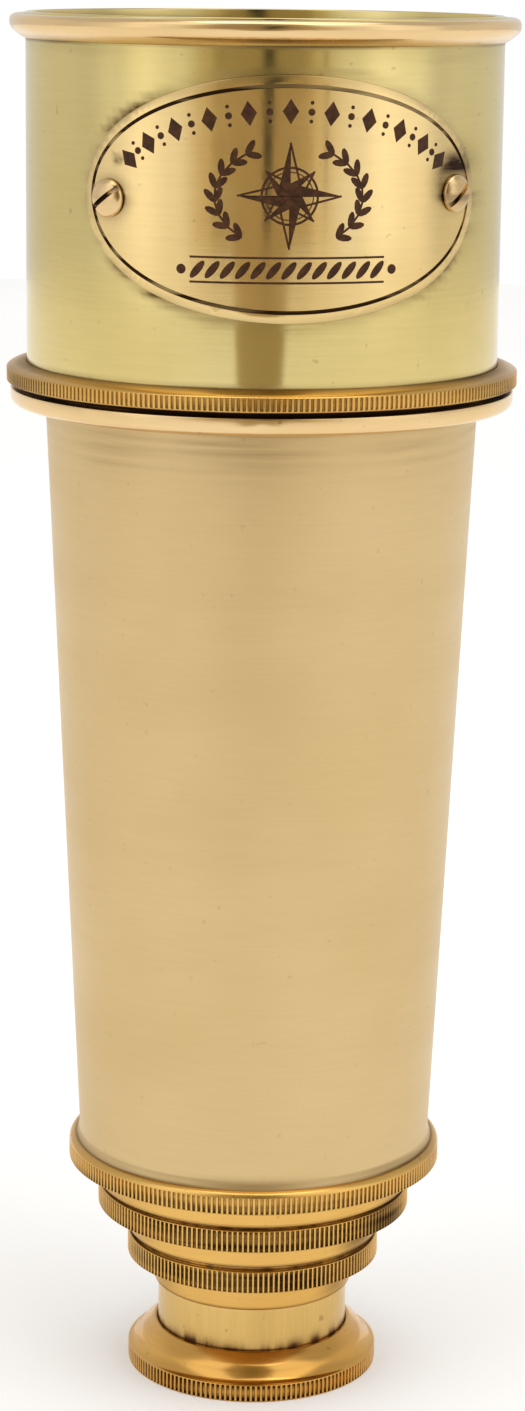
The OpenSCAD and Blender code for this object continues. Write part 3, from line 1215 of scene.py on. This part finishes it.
    def _ring(self, radius: float, width: float, place: tuple[float, float]) -> None:
        """Adds a thin engraved ring."""
        Bench.clear()
        bpy.ops.mesh.primitive_circle_add(vertices=48, radius=radius * MM)
        ring = Bench.named("fill")
        Bench.edit_all(ring)
        bpy.ops.mesh.extrude_region_move()
        inner = 1 - width / radius
        bpy.ops.transform.resize(value=(inner, inner, 1.0), center_override=CENTRE)
        Bench.leave()
        ring.location = (place[0] * MM, place[1] * MM, 0.0)
        Bench.apply(ring)
        self.fill_pieces.append(ring)

    def _stroke(self, start: tuple[float, float], end: tuple[float, float], width: float) -> None:
        """Adds a thin straight engraved line."""
        along = Vector(end) - Vector(start)
        middle = (Vector(end) + Vector(start)) / 2
        Bench.clear()
        bpy.ops.mesh.primitive_plane_add(size=MM)
        line = Bench.named("fill")
        line.scale = (along.length, width, 1.0)
        line.rotation_euler = (0.0, 0.0, math.atan2(along.y, along.x))
        line.location = (middle.x * MM, middle.y * MM, 0.0)
        Bench.apply(line)
        self.fill_pieces.append(line)

    def _half_point(self, length: float, waist: float, degrees: float) -> None:
        """Adds one compass point: one half filled, the other half only outlined.

        Args:
            length: Reach of the point.
            waist: Distance from the middle to the corner between two points.
            degrees: Direction of the point.
        """
        turn = math.radians(degrees)
        tip = Vector((math.cos(turn), math.sin(turn))) * length
        side = math.radians(45.0)
        dark = Vector((math.cos(turn + side), math.sin(turn + side))) * waist
        pale = Vector((math.cos(turn - side), math.sin(turn - side))) * waist
        lift = Vector((0.0, self.rose_z))
        Bench.clear()
        bpy.ops.mesh.primitive_circle_add(vertices=3, radius=MM, fill_type="NGON")
        shape = Bench.named("fill")
        for vertex, corner in zip(shape.data.vertices, (lift, tip + lift, dark + lift)):
            vertex.co = (corner.x * MM, corner.y * MM, 0.0)
        self.fill_pieces.append(shape)
        self._stroke(tuple(tip + lift), tuple(pale + lift), self.line_width)
        self._stroke(tuple(tip + lift), tuple(lift), self.hair_width)

    def _rose(self) -> None:
        """The compass rose in the middle, with a double ring through its points."""
        for first, point in ((45.0, self.short_point), (0.0, self.long_point)):
            for quarter in range(4):
                self._half_point(*point, first + quarter * 90.0)
        self._ring(2.95, 0.24, (0.0, self.rose_z))
        self._ring(2.45, self.hair_width, (0.0, self.rose_z))

    def _wreath(self) -> None:
        """Two laurel sprigs that open round the rose."""
        across, up = self.wreath
        for side in (-1, 1):
            before = None
            for index in range(8):
                turn = math.radians(-50 + index * 15)
                place = (side * across * math.cos(turn), 0.3 + up * math.sin(turn))
                lean = math.atan2(up * math.cos(turn), -across * side * math.sin(turn))
                for spread in (-self.leaf_spread, self.leaf_spread):
                    leaf = (place[0] + self.leaf_reach * math.cos(lean + spread),
                            place[1] + self.leaf_reach * math.sin(lean + spread))
                    self._flat(10, self.leaf, leaf, math.degrees(lean + spread))
                if before is not None:
                    self._stroke(before, place, self.line_width)
                before = place

    def _upper_arc(self) -> None:
        """Lozenges and dots along the upper edge."""
        across, up = self.arc
        count = 21
        for index in range(count):
            turn = math.radians(155.0 - index * 130.0 / (count - 1))
            place = (across * math.cos(turn), up * math.sin(turn))
            slope = math.atan2(up * math.cos(turn), -across * math.sin(turn)) + math.pi
            if index % 2 == 0:
                self._flat(4, self.lozenge, place, math.degrees(slope))
                continue
            self._flat(16, (0.36, 0.36), place)
            for sign in (-1, 1):
                self._flat(12, (0.20, 0.20), (place[0] - sign * 0.92 * math.sin(slope),
                                              place[1] + sign * 0.92 * math.cos(slope)))

    def _lower_line(self) -> None:
        """A rope border between two lines, with a dot at each end."""
        for index in range(13):
            place = ((index - 6) * self.rope_step, self.rope_z)
            self._flat(14, self.rope_strand, place, self.rope_lean)
        for side in (-1, 1):
            self._flat(16, (0.50, 0.50), (side * 11.0, self.rope_z))
            edge = self.rope_z + side * 1.25
            self._stroke((side * -10.1, edge), (side * 10.1, edge), self.line_width)

    def _engraving(self) -> bpy.types.Object:
        """All filled lines as one piece, bent with the plate."""
        self._rose()
        self._wreath()
        self._upper_arc()
        self._lower_line()
        fill = Bench.join("engraved_rose", self.fill_pieces)
        self._slice(fill, -self.half_length)
        Bench.edit_all(fill)
        top = (self.thickness + self.fill_proud) * MM
        bpy.ops.transform.translate(value=(0.0, 0.0, top - self.groove * MM))
        lift = {"value": (0.0, 0.0, self.groove * MM)}
        bpy.ops.mesh.extrude_region_move(TRANSFORM_OT_translate=lift)
        Bench.leave()
        self._wrap(fill)
        Bench.edit_all(fill)
        bpy.ops.mesh.normals_make_consistent(inside=False)
        Bench.leave()
        return fill

    # Screws -------------------------------------------------------------------------------------

    def _screws(self) -> bpy.types.Object:
        """Two slotted round heads, each turned as it was left."""
        lathe = Lathe(48)
        made = []
        lever = (self.half_length - self.screw_margin) / self.face_r
        for side, slot_turn, dull in zip((-1, 1), self.slot_turns, self.screw_dirt):
            outline = (Outline(True).to(0.0, -1.1).to(0.95, -1.1).to(0.95, 0.0)
                       .to(1.9, 0.0, 0.03, 0.9).to(1.95, 0.08, 0.05, 0.6)
                       .to(1.92, 0.38, 0.2).to(1.5, 0.78, 0.35).to(0.75, 0.95, 0.4)
                       .to(0.0, 0.97))
            head = lathe.turn(f"screw_{side}", outline)
            self._cut_slot(head)
            Bench.mark(head, self._screw_grime_and_shade)
            Bench.stain(head, lambda degrees, z, r: dull)
            head.rotation_euler = (0.0, 0.0, math.radians(slot_turn))
            Bench.apply(head)
            angle = self.turn + side * lever
            out = Vector((math.sin(angle), -math.cos(angle), 0.0))
            right = Vector((math.cos(angle), math.sin(angle), 0.0))
            base = out * (self.face_r * MM)
            base.z = (self.middle_z + side * self.screw_offset) * MM
            for vertex in head.data.vertices:
                x, y, z = vertex.co
                vertex.co = base + right * x + Vector(AXIS) * y + out * z
            made.append(head)
        screws = Bench.join("plate_screws", made)
        Bench.smooth(screws, 35.0)
        return screws

    @staticmethod
    def _cut_slot(head: bpy.types.Object) -> None:
        """Cuts the screwdriver slot."""
        Bench.clear()
        bpy.ops.mesh.primitive_cube_add(size=1.0, location=(0.0, 0.0, 1.0 * MM))
        blade = Bench.named("blade")
        blade.scale = (6 * MM, 0.52 * MM, 1.1 * MM)
        Bench.apply(blade)
        Bench.only(head)
        cut = head.modifiers.new("slot", "BOOLEAN")
        cut.operation = "DIFFERENCE"
        cut.solver = "EXACT"
        cut.object = blade
        bpy.ops.object.modifier_apply(modifier=cut.name)
        bpy.data.objects.remove(blade)

    @staticmethod
    def _screw_grime_and_shade(place: Vector) -> float:
        """Dirt and painted shade in the slot and under the head."""
        in_slot = abs(place.y) < 0.3 * MM and 0.3 * MM < place.z < 0.6 * MM
        return 1.0 if in_slot or place.z < 0.1 * MM else 0.1


@dataclass
class Objective:
    """The two objective lenses."""

    palette: Palette
    curve: float = 95.0

    def build(self) -> None:
        """Builds both lenses."""
        shop = Assembly(self.palette, "objective_lens")
        crown = Span.of("objective_crown_lens")
        flint = Span.of("objective_flint_lens")
        sag = self.curve - math.sqrt(self.curve ** 2 - crown.radius ** 2)
        outline = Outline(True).dome(crown.radius, crown.low + sag, self.curve, -1, False)
        outline.dome(crown.radius, crown.high - sag, self.curve, 1)
        shop.mount(shop.lathe.turn("crown_lens", outline), "glass", "objective_crown_lens")
        outline = Outline(True).to(0.0, flint.low).to(flint.radius, flint.low, 0.1)
        outline.dome(flint.radius, flint.high, self.curve, -1)
        shop.mount(shop.lathe.turn("flint_lens", outline), "glass", "objective_flint_lens")


@dataclass
class Barrel:
    """Tapering barrel with its smooth front flange and its knurled end ring."""

    palette: Palette
    wall: float = 0.7
    draw_bore: float = 17.05
    flange_bore: float = 22.0
    socket: float = 1.2
    foot: float = 19.72
    flare: float = 20.1
    flare_height: float = 1.4
    collar: float = 17.7
    knocks: tuple[tuple[float, float], ...] = ((-40.0, 0.22), (0.5, 0.12))
    knock_reach: float = 0.9
    ring_dirt: tuple[Smudge, ...] = (Smudge(0.3, 68, 26), Smudge(0.18, -60, 30))
    # Smears by angle; with the floor and fade they also paint shade under the flange, darkest at
    # the front.
    smears_and_shade: tuple[Smudge, ...] = (Smudge(0.75, -2, 26), Smudge(0.5, -44, 22), Smudge(0.4, 38, 20))
    smear_and_shade_floor: float = 0.30
    smear_and_shade_reach: float = 8.2

    def build(self) -> None:
        """Builds every piece."""
        shop = Assembly(self.palette, "barrel")
        flange = Span.of("barrel_flange")
        tube = Span.of("barrel_tube")
        ring = Span.of("barrel_end_ring")
        front = shop.lathe.turn("front_flange", self._flange(flange, tube))
        self._knock(front, flange)
        shop.mount(front, "rosy_brass", "barrel_flange")
        barrel = shop.lathe.turn("tapered_barrel", self._tube(tube))
        Bench.stain(barrel, lambda degrees, z, r: self._smears_and_shade(degrees, tube.high - z))
        shop.mount(barrel, "satin_brass", "barrel_tube")
        band = shop.lathe.knurl("end_ring", self._ring(ring, tube),
                                Knurl(ring.radius, depth=0.15, groove_share=0.42,
                                      grime_and_shade_top=0.45, grime_and_shade_foot=0.95))
        Bench.stain(band, lambda degrees, z, r: smudged(degrees, self.ring_dirt))
        shop.mount(band, "knurled_brass", "barrel_end_ring")

    def _flange(self, flange: Span, tube: Span) -> Outline:
        """Outline of the front flange."""
        bottom = tube.high - self.socket
        bore = self.flange_bore
        return (Outline()
                # Grime with painted shade: the top face in the gap under the collar, and a shadow
                # line where the flange meets the barrel.
                .to(bore, flange.high, 0.1, 0.9).to(flange.radius - 1.0, flange.high, 0.0, 0.9)
                .to(flange.radius, flange.high, 0.16).to(flange.radius, bottom + 0.45, 0.7)
                .to(flange.radius - 1.5, bottom, 0.35, 0.05)
                .to(tube.radius + 0.6, bottom - 0.02, 0.25, 0.35)
                .to(tube.radius + 0.03, bottom - 0.3, 0.1, 0.9)
                .to(tube.radius - 0.05, tube.high - 0.2, 0.0, 0.9)
                .to(bore + 0.4, tube.high, 0.0, 0.9)
                .to(bore + 0.4, flange.low, 0.0, 0.6).to(bore, flange.low, 0.0, 0.6))

    def _knock(self, front: bpy.types.Object, flange: Span) -> None:
        """Two old knocks on the flange's lower edge."""
        for degrees, deep in self.knocks:
            turn = math.radians(degrees)
            out = Vector((math.sin(turn), -math.cos(turn), 0.0))
            spot = out * (flange.radius * MM)
            spot.z = (flange.high - 1.3) * MM
            Bench.dent(front, spot, out * (-deep * MM), self.knock_reach * MM)

    def _tube(self, tube: Span) -> Outline:
        """Outline of the tapering tube, with a short flare at its foot."""
        top_r = tube.radius
        taper = (top_r - self.foot) / (tube.high - tube.low - self.flare_height)
        outline = (Outline()
                   .to(self.foot - self.wall, tube.low, 0.0, 0.6)
                   .to(self.flare, tube.low, 0.0, 0.9)
                   .to(self.foot + 0.15, tube.low + 0.5, 0.25, 0.35)
                   .to(self.foot, tube.low + self.flare_height, 0.5)
                   .to(self.foot + 8.6 * taper, tube.low + self.flare_height + 8.6))
        depth = self.smear_and_shade_reach
        while depth > 1.3:
            outline.to(top_r - depth * taper, tube.high - depth)
            depth -= 0.6
        return (outline.to(top_r - 1.25 * taper, tube.high - 1.25, 0.0, 0.9)
                .to(top_r, tube.high, 0.0, 0.9).to(top_r - self.wall, tube.high, 0.0, 0.5))

    def _smears_and_shade(self, degrees: float, depth: float) -> float:
        """Brushed smears of old polish on the tube under the flange, with painted shade there.

        Args:
            degrees: Angle round from the front.
            depth: Distance under the tube's front end.

        Returns:
            The added dirt and painted shade.
        """
        if not self.socket < depth < self.smear_and_shade_reach:
            return 0.0
        round_about = (self.smear_and_shade_floor + smudged(degrees, self.smears_and_shade)
                       + 0.5 * patch(abs(degrees), 150, 60))
        fade = (1 - (depth - self.socket) / (self.smear_and_shade_reach - self.socket)) ** 1.6
        bands = 0.55 + 0.45 * math.sin(depth * 4.1 + 0.03 * degrees)
        return 0.85 * round_about * fade * bands

    def _ring(self, ring: Span, tube: Span) -> Outline:
        """Outline of the end ring: rounded shoulder, knurl, and the collar under it."""
        rim = ring.radius
        line = tube.low
        base = line - 2.55
        collar = self.collar
        return (Outline(round_steps=3)
                .to(self.draw_bore + 0.85, line + 0.3, 0.0, 0.5).to(20.0, line, 0.0, 1.0)
                .to(20.16, line, 0.05, 0.45).to(rim - 0.25, line - 0.14, 0.3)
                .to(rim, line - 0.55, 0.2)
                .to(rim, line - 0.72, 0.06, 0.0, True).to(rim, base + 0.2, 0.06, 0.0, True)
                # Grime with painted shadow under the knurled rim's overhang.
                .to(rim, base + 0.08, 0.03, 0.1).to(rim - 0.1, base, 0.05, 0.4)
                .to(collar + 0.35, base, 0.2, 0.6).to(collar, base - 0.35, 0.2)
                .to(collar, ring.low + 0.45).to(collar, ring.low + 0.16, 0.12, 0.3)
                .to(collar - 0.2, ring.low, 0.0, 0.5)
                .to(self.draw_bore, ring.low, 0.0, 1.0).to(self.draw_bore, base + 0.8, 0.0, 1.0)
                .to(self.draw_bore + 0.85, base + 0.8, 0.0, 0.9))


@dataclass
class Draw:
    """One sliding draw: its tube, its knurled ferrule and the plain collar below."""

    palette: Palette
    body: str
    collar: float
    bore: float
    dirt: tuple[Smudge, ...]
    wall: float = 0.6
    spigot: float = 4.0

    def build(self) -> None:
        """Builds the tube and the ferrule."""
        shop = Assembly(self.palette, self.body)
        tube = Span.of(f"{self.body}_tube")
        ferrule = Span.of(f"{self.body}_ferrule")
        inner = tube.radius - self.wall
        outline = (Outline()
                   .to(tube.radius, tube.low, 0.05, 0.7).to(tube.radius, tube.low + 0.8, 0.0, 0.1)
                   .to(tube.radius, tube.high, 0.1, 0.1).to(inner, tube.high, 0.1, 0.6)
                   .to(inner, tube.low, 0.0, 0.8))
        shop.mount(shop.lathe.turn(f"{self.body}_pipe", outline), "draw_brass",
                   f"{self.body}_tube")
        band = shop.lathe.knurl(f"{self.body}_grip", self._ferrule(ferrule, tube),
                                Knurl(ferrule.radius, groove_share=0.49))
        Bench.stain(band, lambda degrees, z, r: smudged(degrees, self.dirt))
        shop.mount(band, "knurled_brass", f"{self.body}_ferrule")

    def _ferrule(self, ferrule: Span, tube: Span) -> Outline:
        """Outline of the ferrule."""
        rim = ferrule.radius
        top = tube.low
        base = top - 2.52
        inner = tube.radius - self.wall
        return (Outline(round_steps=3)
                .to(inner, top + self.spigot, 0.0, 0.8).to(inner, top, 0.0, 1.0)
                .to(tube.radius - 0.3, top, 0.0, 1.0).to(rim - 0.4, top)
                .to(rim - 0.12, top, 0.07).to(rim, top - 0.10, 0.04)
                .to(rim, top - 0.24, 0.05, 0.0, True).to(rim, base + 0.14, 0.05, 0.0, True)
                # Grime with painted shadow under the knurled rim's overhang.
                .to(rim, base + 0.05, 0.03, 0.3).to(rim - 0.06, base, 0.03, 0.5)
                .to(self.collar + 0.35, base, 0.2, 0.7).to(self.collar, base - 0.35, 0.2)
                .to(self.collar, ferrule.low + 0.45)
                .to(self.collar, ferrule.low + 0.16, 0.12, 0.3)
                .to(self.collar - 0.2, ferrule.low, 0.0, 0.5)
                .to(self.bore, ferrule.low, 0.0, 1.0).to(self.bore, base + 0.8, 0.0, 1.0)
                .to(self.bore + 0.85, base + 0.8, 0.0, 0.9)
                .to(self.bore + 0.85, top + self.spigot, 0.0, 0.9))


@dataclass
class Eyepiece:
    """Eye tube and the flared cup that the telescope stands on."""

    palette: Palette
    wall: float = 0.6
    neck: float = 11.2
    eye_hole: float = 3.5
    dish: float = 11.8
    dish_deep: float = 1.7
    eye_floor: float = 2.6
    knurl_top: float = 2.0
    seam_floor: float = 0.35
    seam_dirt: tuple[Smudge, ...] = (Smudge(0.5, -34, 24), Smudge(0.6, 40, 30))
    seam_reach: float = 1.7

    def build(self) -> None:
        """Builds the tube and the cup."""
        shop = Assembly(self.palette, "eyepiece")
        tube = Span.of("eye_tube")
        cup = Span.of("eyepiece_cup")
        inner = tube.radius - self.wall
        seam = cup.high
        outline = (Outline()
                   .to(tube.radius, tube.low, 0.0, 0.8).to(tube.radius, seam, 0.0, 0.9)
                   .to(tube.radius, seam + 0.3, 0.0, 0.2).to(tube.radius, seam + 0.8)
                   .to(tube.radius, seam + 1.3).to(tube.radius, seam + 2.0)
                   .to(tube.radius, seam + 3.5)
                   .to(tube.radius, tube.high, 0.1, 0.1).to(inner, tube.high, 0.1, 0.6)
                   .to(inner, tube.low, 0.0, 0.8))
        pipe = shop.lathe.turn("eye_pipe", outline)
        Bench.stain(pipe, lambda degrees, z, r: patch(z, seam, self.seam_reach) * (
            self.seam_floor + smudged(degrees, self.seam_dirt)))
        shop.mount(pipe, "draw_brass", "eye_tube")
        ring = shop.lathe.knurl("eye_cup", self._cup(cup, tube),
                                Knurl(cup.radius, depth=0.16, groove_share=0.40,
                                      grime_and_shade_top=0.9, grime_and_shade_foot=0.9))
        shop.mount(ring, "golden_brass", "eyepiece_cup")

    def _cup(self, cup: Span, tube: Span) -> Outline:
        """Outline of the cup: shoulder, cove, knurled rim, dished underside and eye hole."""
        rim = cup.radius
        top = cup.high
        knurl_top = self.knurl_top
        return (Outline(round_steps=4)
                .to(tube.radius + 0.03, top - 0.1, 0.0, 1.0).to(tube.radius + 0.12, top, 0.04, 0.5)
                .to(self.neck, top, 0.1).to(rim - 1.55, top - 1.25, 0.5)
                .to(rim - 1.15, top - 2.0, 0.5).to(rim - 0.5, knurl_top + 0.12, 0.35)
                .to(rim, knurl_top + 0.02, 0.12)
                .to(rim, knurl_top - 0.16, 0.05, 0.0, True).to(rim, 0.24, 0.05, 0.0, True)
                .to(rim, 0.12, 0.04, 0.2).to(rim - 0.14, 0.0, 0.06, 0.3)
                .to(self.dish, 0.0, 0.3, 0.1).to(self.eye_hole, self.dish_deep, 0.15, 0.4)
                .to(self.eye_hole, self.eye_floor, 0.0, 1.0)
                .to(tube.radius + 0.02, self.eye_floor, 0.0, 1.0))


@dataclass
class Inside:
    """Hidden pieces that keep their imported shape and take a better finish."""

    palette: Palette
    frame: dict

    def build(self) -> None:
        """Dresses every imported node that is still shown."""
        rows = self.frame["record"]["subparts"]
        slots = {row["node"]: row["material_slot"] for row in rows}
        for name, node in self.frame["nodes"].items():
            if node.hide_render:
                continue
            self.palette.dress(node, slots[name])
            log.info("%s keeps its packed shape", name)


# --- Studio -------------------------------------------------------------------------------------


@dataclass(frozen=True)
class Glow:
    """Brightness of the light tent in one direction round the telescope."""

    degrees: float
    level: float
    warmth: float = 0.0

    @property
    def colour(self) -> tuple[float, float, float, float]:
        """The level as a colour, warmer where the room beyond the tent shows."""
        return (self.level, self.level * (1 - 0.19 * self.warmth),
                self.level * (1 - 0.53 * self.warmth), 1.0)


@dataclass(frozen=True)
class Screen:
    """An upright sheet that only reflections see: feet and head spans at a distance."""

    name: str
    y: float
    low: tuple[float, float, float]
    high: tuple[float, float, float]
    paper: PaperFinish


@dataclass
class Studio:
    """Pale floor, a soft light tent and the camera."""

    floor_radius: float = 1.3
    floor_glow: float = 0.22
    camera_x: float = 0.00048
    camera_y: float = -0.3726
    camera_z: float = 0.1586
    look_down: float = 12.44
    roll: float = 0.638
    lens: float = 88.02
    sensor: float = 36.0
    strength: float = 1.0
    ceiling_from: float = 0.35
    ceiling_to: float = 0.65
    light_place: tuple[float, float, float] = (0.1, -0.1, 1.1)
    light_size: float = 0.9
    light_watts: float = 2.6
    walls: tuple[Glow, ...] = (
        Glow(-180, 0.76), Glow(-112, 0.78), Glow(-92, 0.74), Glow(-76, 0.90), Glow(-58, 1.22),
        Glow(-42, 0.98), Glow(-26, 0.62, 0.8), Glow(-22, 0.42, 1.0), Glow(-1, 0.36, 1.0),
        Glow(1, 0.03), Glow(8, 0.03), Glow(10.5, 0.40, 1.0), Glow(20, 0.46, 1.0),
        Glow(25, 0.70, 0.7), Glow(42, 0.95), Glow(57, 1.25), Glow(74, 1.10), Glow(92, 0.74),
        Glow(104, 0.78), Glow(180, 0.76))
    ceiling: tuple[Glow, ...] = (
        Glow(-180, 0.66), Glow(-84, 0.66), Glow(-66, 1.30), Glow(-34, 1.30), Glow(-24, 0.52, 0.5),
        Glow(0, 0.30, 0.8), Glow(18, 0.40, 0.6), Glow(30, 1.35), Glow(66, 1.35), Glow(84, 0.60),
        Glow(180, 0.66))
    screens: tuple[Screen, ...] = (
        Screen("room_screen", -0.42, (-0.045, 0.03, 0.02), (-0.175, 0.165, 0.17),
               PaperFinish("room_dusk", (0.46, 0.36, 0.21), (0.42, 0.33, 0.19))),
        Screen("lens_screen", -0.41, (-0.002, 0.022, 0.10), (-0.004, 0.045, 0.18),
               PaperFinish("lens_dark", (0.025, 0.025, 0.02), (0.04, 0.038, 0.03))),
        Screen("stand_screen", -0.43, (0.222, 0.234, 0.10), (0.222, 0.234, 0.17),
               PaperFinish("stand_dark", (0.20, 0.18, 0.12), (0.24, 0.21, 0.15))))

    def build(self) -> None:
        """Builds floor, screens, light and camera."""
        self._floor()
        for screen in self.screens:
            self._screen(screen)
        self._world()
        self._lights()
        self._camera()

    def _floor(self) -> None:
        """A round sheet of pale paper."""
        Bench.clear()
        bpy.ops.mesh.primitive_circle_add(vertices=96, radius=self.floor_radius,
                                          fill_type="TRIFAN")
        floor = Bench.named("floor")
        floor.data.materials.append(PaperFinish("floor_paper", glow=self.floor_glow).build())

    def _screen(self, screen: Screen) -> None:
        """Stands up one sheet that only shows in reflections."""
        Bench.clear()
        bpy.ops.mesh.primitive_plane_add(size=1.0)
        sheet = Bench.named(screen.name)
        for vertex in sheet.data.vertices:
            left, right, z = screen.high if vertex.co.y > 0 else screen.low
            vertex.co = (right if vertex.co.x > 0 else left, screen.y, z)
        sheet.data.materials.append(screen.paper.build())
        for ray in ("camera", "diffuse", "shadow"):
            setattr(sheet, f"visible_{ray}", False)

    @staticmethod
    def _ramp(nodes: bpy.types.Nodes, glows: tuple[Glow, ...], full: float) -> bpy.types.Node:
        """A colour ramp round the tent.

        Args:
            nodes: The world's nodes.
            glows: Brightness by direction.
            full: Level that the ramp's white stands for.

        Returns:
            The ramp's node.
        """
        ramp = nodes.new("ShaderNodeValToRGB")
        ramp.color_ramp.interpolation = "EASE"
        stops = ramp.color_ramp.elements
        while len(stops) < len(glows):
            stops.new(0.5)
        for stop, glow in zip(stops, glows):
            stop.position = (glow.degrees + 180) / 360
            stop.color = tuple(part / full for part in glow.colour[:3]) + (1.0,)
        return ramp

    def _world(self) -> None:
        """A light tent: bright all round, dim and warm where the camera stands."""
        world = bpy.data.worlds.new("tent")
        bpy.context.scene.world = world
        world.use_nodes = True
        nodes, links = world.node_tree.nodes, world.node_tree.links
        tent = nodes["Background"]
        place = nodes.new("ShaderNodeTexCoord")
        split = nodes.new("ShaderNodeSeparateXYZ")
        links.new(place.outputs["Generated"], split.inputs[0])
        flip = nodes.new("ShaderNodeMath")
        flip.operation = "MULTIPLY"
        flip.inputs[1].default_value = -1.0
        links.new(split.outputs["Y"], flip.inputs[0])
        angle = nodes.new("ShaderNodeMath")
        angle.operation = "ARCTAN2"
        links.new(split.outputs["X"], angle.inputs[0])
        links.new(flip.outputs[0], angle.inputs[1])
        share = nodes.new("ShaderNodeMapRange")
        share.inputs["From Min"].default_value = -math.pi
        share.inputs["From Max"].default_value = math.pi
        links.new(angle.outputs[0], share.inputs["Value"])
        full = max(glow.level for glow in self.walls + self.ceiling)
        height = nodes.new("ShaderNodeMapRange")
        height.interpolation_type = "SMOOTHSTEP"
        height.inputs["From Min"].default_value = self.ceiling_from
        height.inputs["From Max"].default_value = self.ceiling_to
        links.new(split.outputs["Z"], height.inputs["Value"])
        mix = nodes.new("ShaderNodeMix")
        mix.data_type = "RGBA"
        links.new(height.outputs["Result"], mix.inputs[0])
        for glows, socket in ((self.walls, mix.inputs[6]), (self.ceiling, mix.inputs[7])):
            ramp = self._ramp(nodes, glows, full)
            links.new(share.outputs["Result"], ramp.inputs["Fac"])
            links.new(ramp.outputs["Color"], socket)
        links.new(mix.outputs[2], tent.inputs["Color"])
        tent.inputs["Strength"].default_value = self.strength * full
        plain = nodes.new("ShaderNodeBackground")
        plain.inputs["Color"].default_value = (1.0, 1.0, 1.0, 1.0)
        path = nodes.new("ShaderNodeLightPath")
        pick = nodes.new("ShaderNodeMixShader")
        links.new(path.outputs["Is Camera Ray"], pick.inputs[0])
        links.new(tent.outputs[0], pick.inputs[1])
        links.new(plain.outputs[0], pick.inputs[2])
        links.new(pick.outputs[0], nodes["World Output"].inputs["Surface"])

    def _lights(self) -> None:
        """One large soft light overhead."""
        Bench.clear()
        bpy.ops.object.light_add(type="AREA", location=self.light_place)
        top = bpy.context.active_object
        top.name = "overhead"
        top.data.shape = "DISK"
        top.data.size = self.light_size
        top.data.energy = self.light_watts

    def _camera(self) -> None:
        """The camera, looking a little down on the telescope."""
        data = bpy.data.cameras.new("camera")
        data.sensor_fit = "AUTO"
        data.sensor_width = self.sensor
        data.lens = self.lens
        data.clip_start = 0.01
        camera = bpy.data.objects.new("camera", data)
        bpy.context.scene.collection.objects.link(camera)
        tilt = Matrix.Rotation(math.radians(90 - self.look_down), 4, "X")
        lean = Matrix.Rotation(math.radians(self.roll), 4, "Z")
        place = Matrix.Translation((self.camera_x, self.camera_y, self.camera_z))
        camera.matrix_world = place @ tilt @ lean
        bpy.context.scene.camera = camera
        bpy.context.scene.view_settings.view_transform = "Standard"


def main() -> None:
    """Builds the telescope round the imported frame, piece by piece."""
    logging.basicConfig(level=logging.INFO, format="%(name)s: %(message)s")
    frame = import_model()
    Studio().build()
    palette = Palette()
    Sunshade(palette).build()
    Nameplate(palette).build()
    Objective(palette).build()
    Barrel(palette).build()
    left = Smudge(0.2, -66, 26)
    Draw(palette, "draw_1", collar=14.25, bore=13.65, dirt=(Smudge(0.75, 58, 24), left)).build()
    Draw(palette, "draw_2", collar=11.2, bore=10.78, dirt=(Smudge(0.3, 58, 24), left)).build()
    Eyepiece(palette).build()
    Inside(palette, frame).build()


if __name__ == "__main__":
    main()
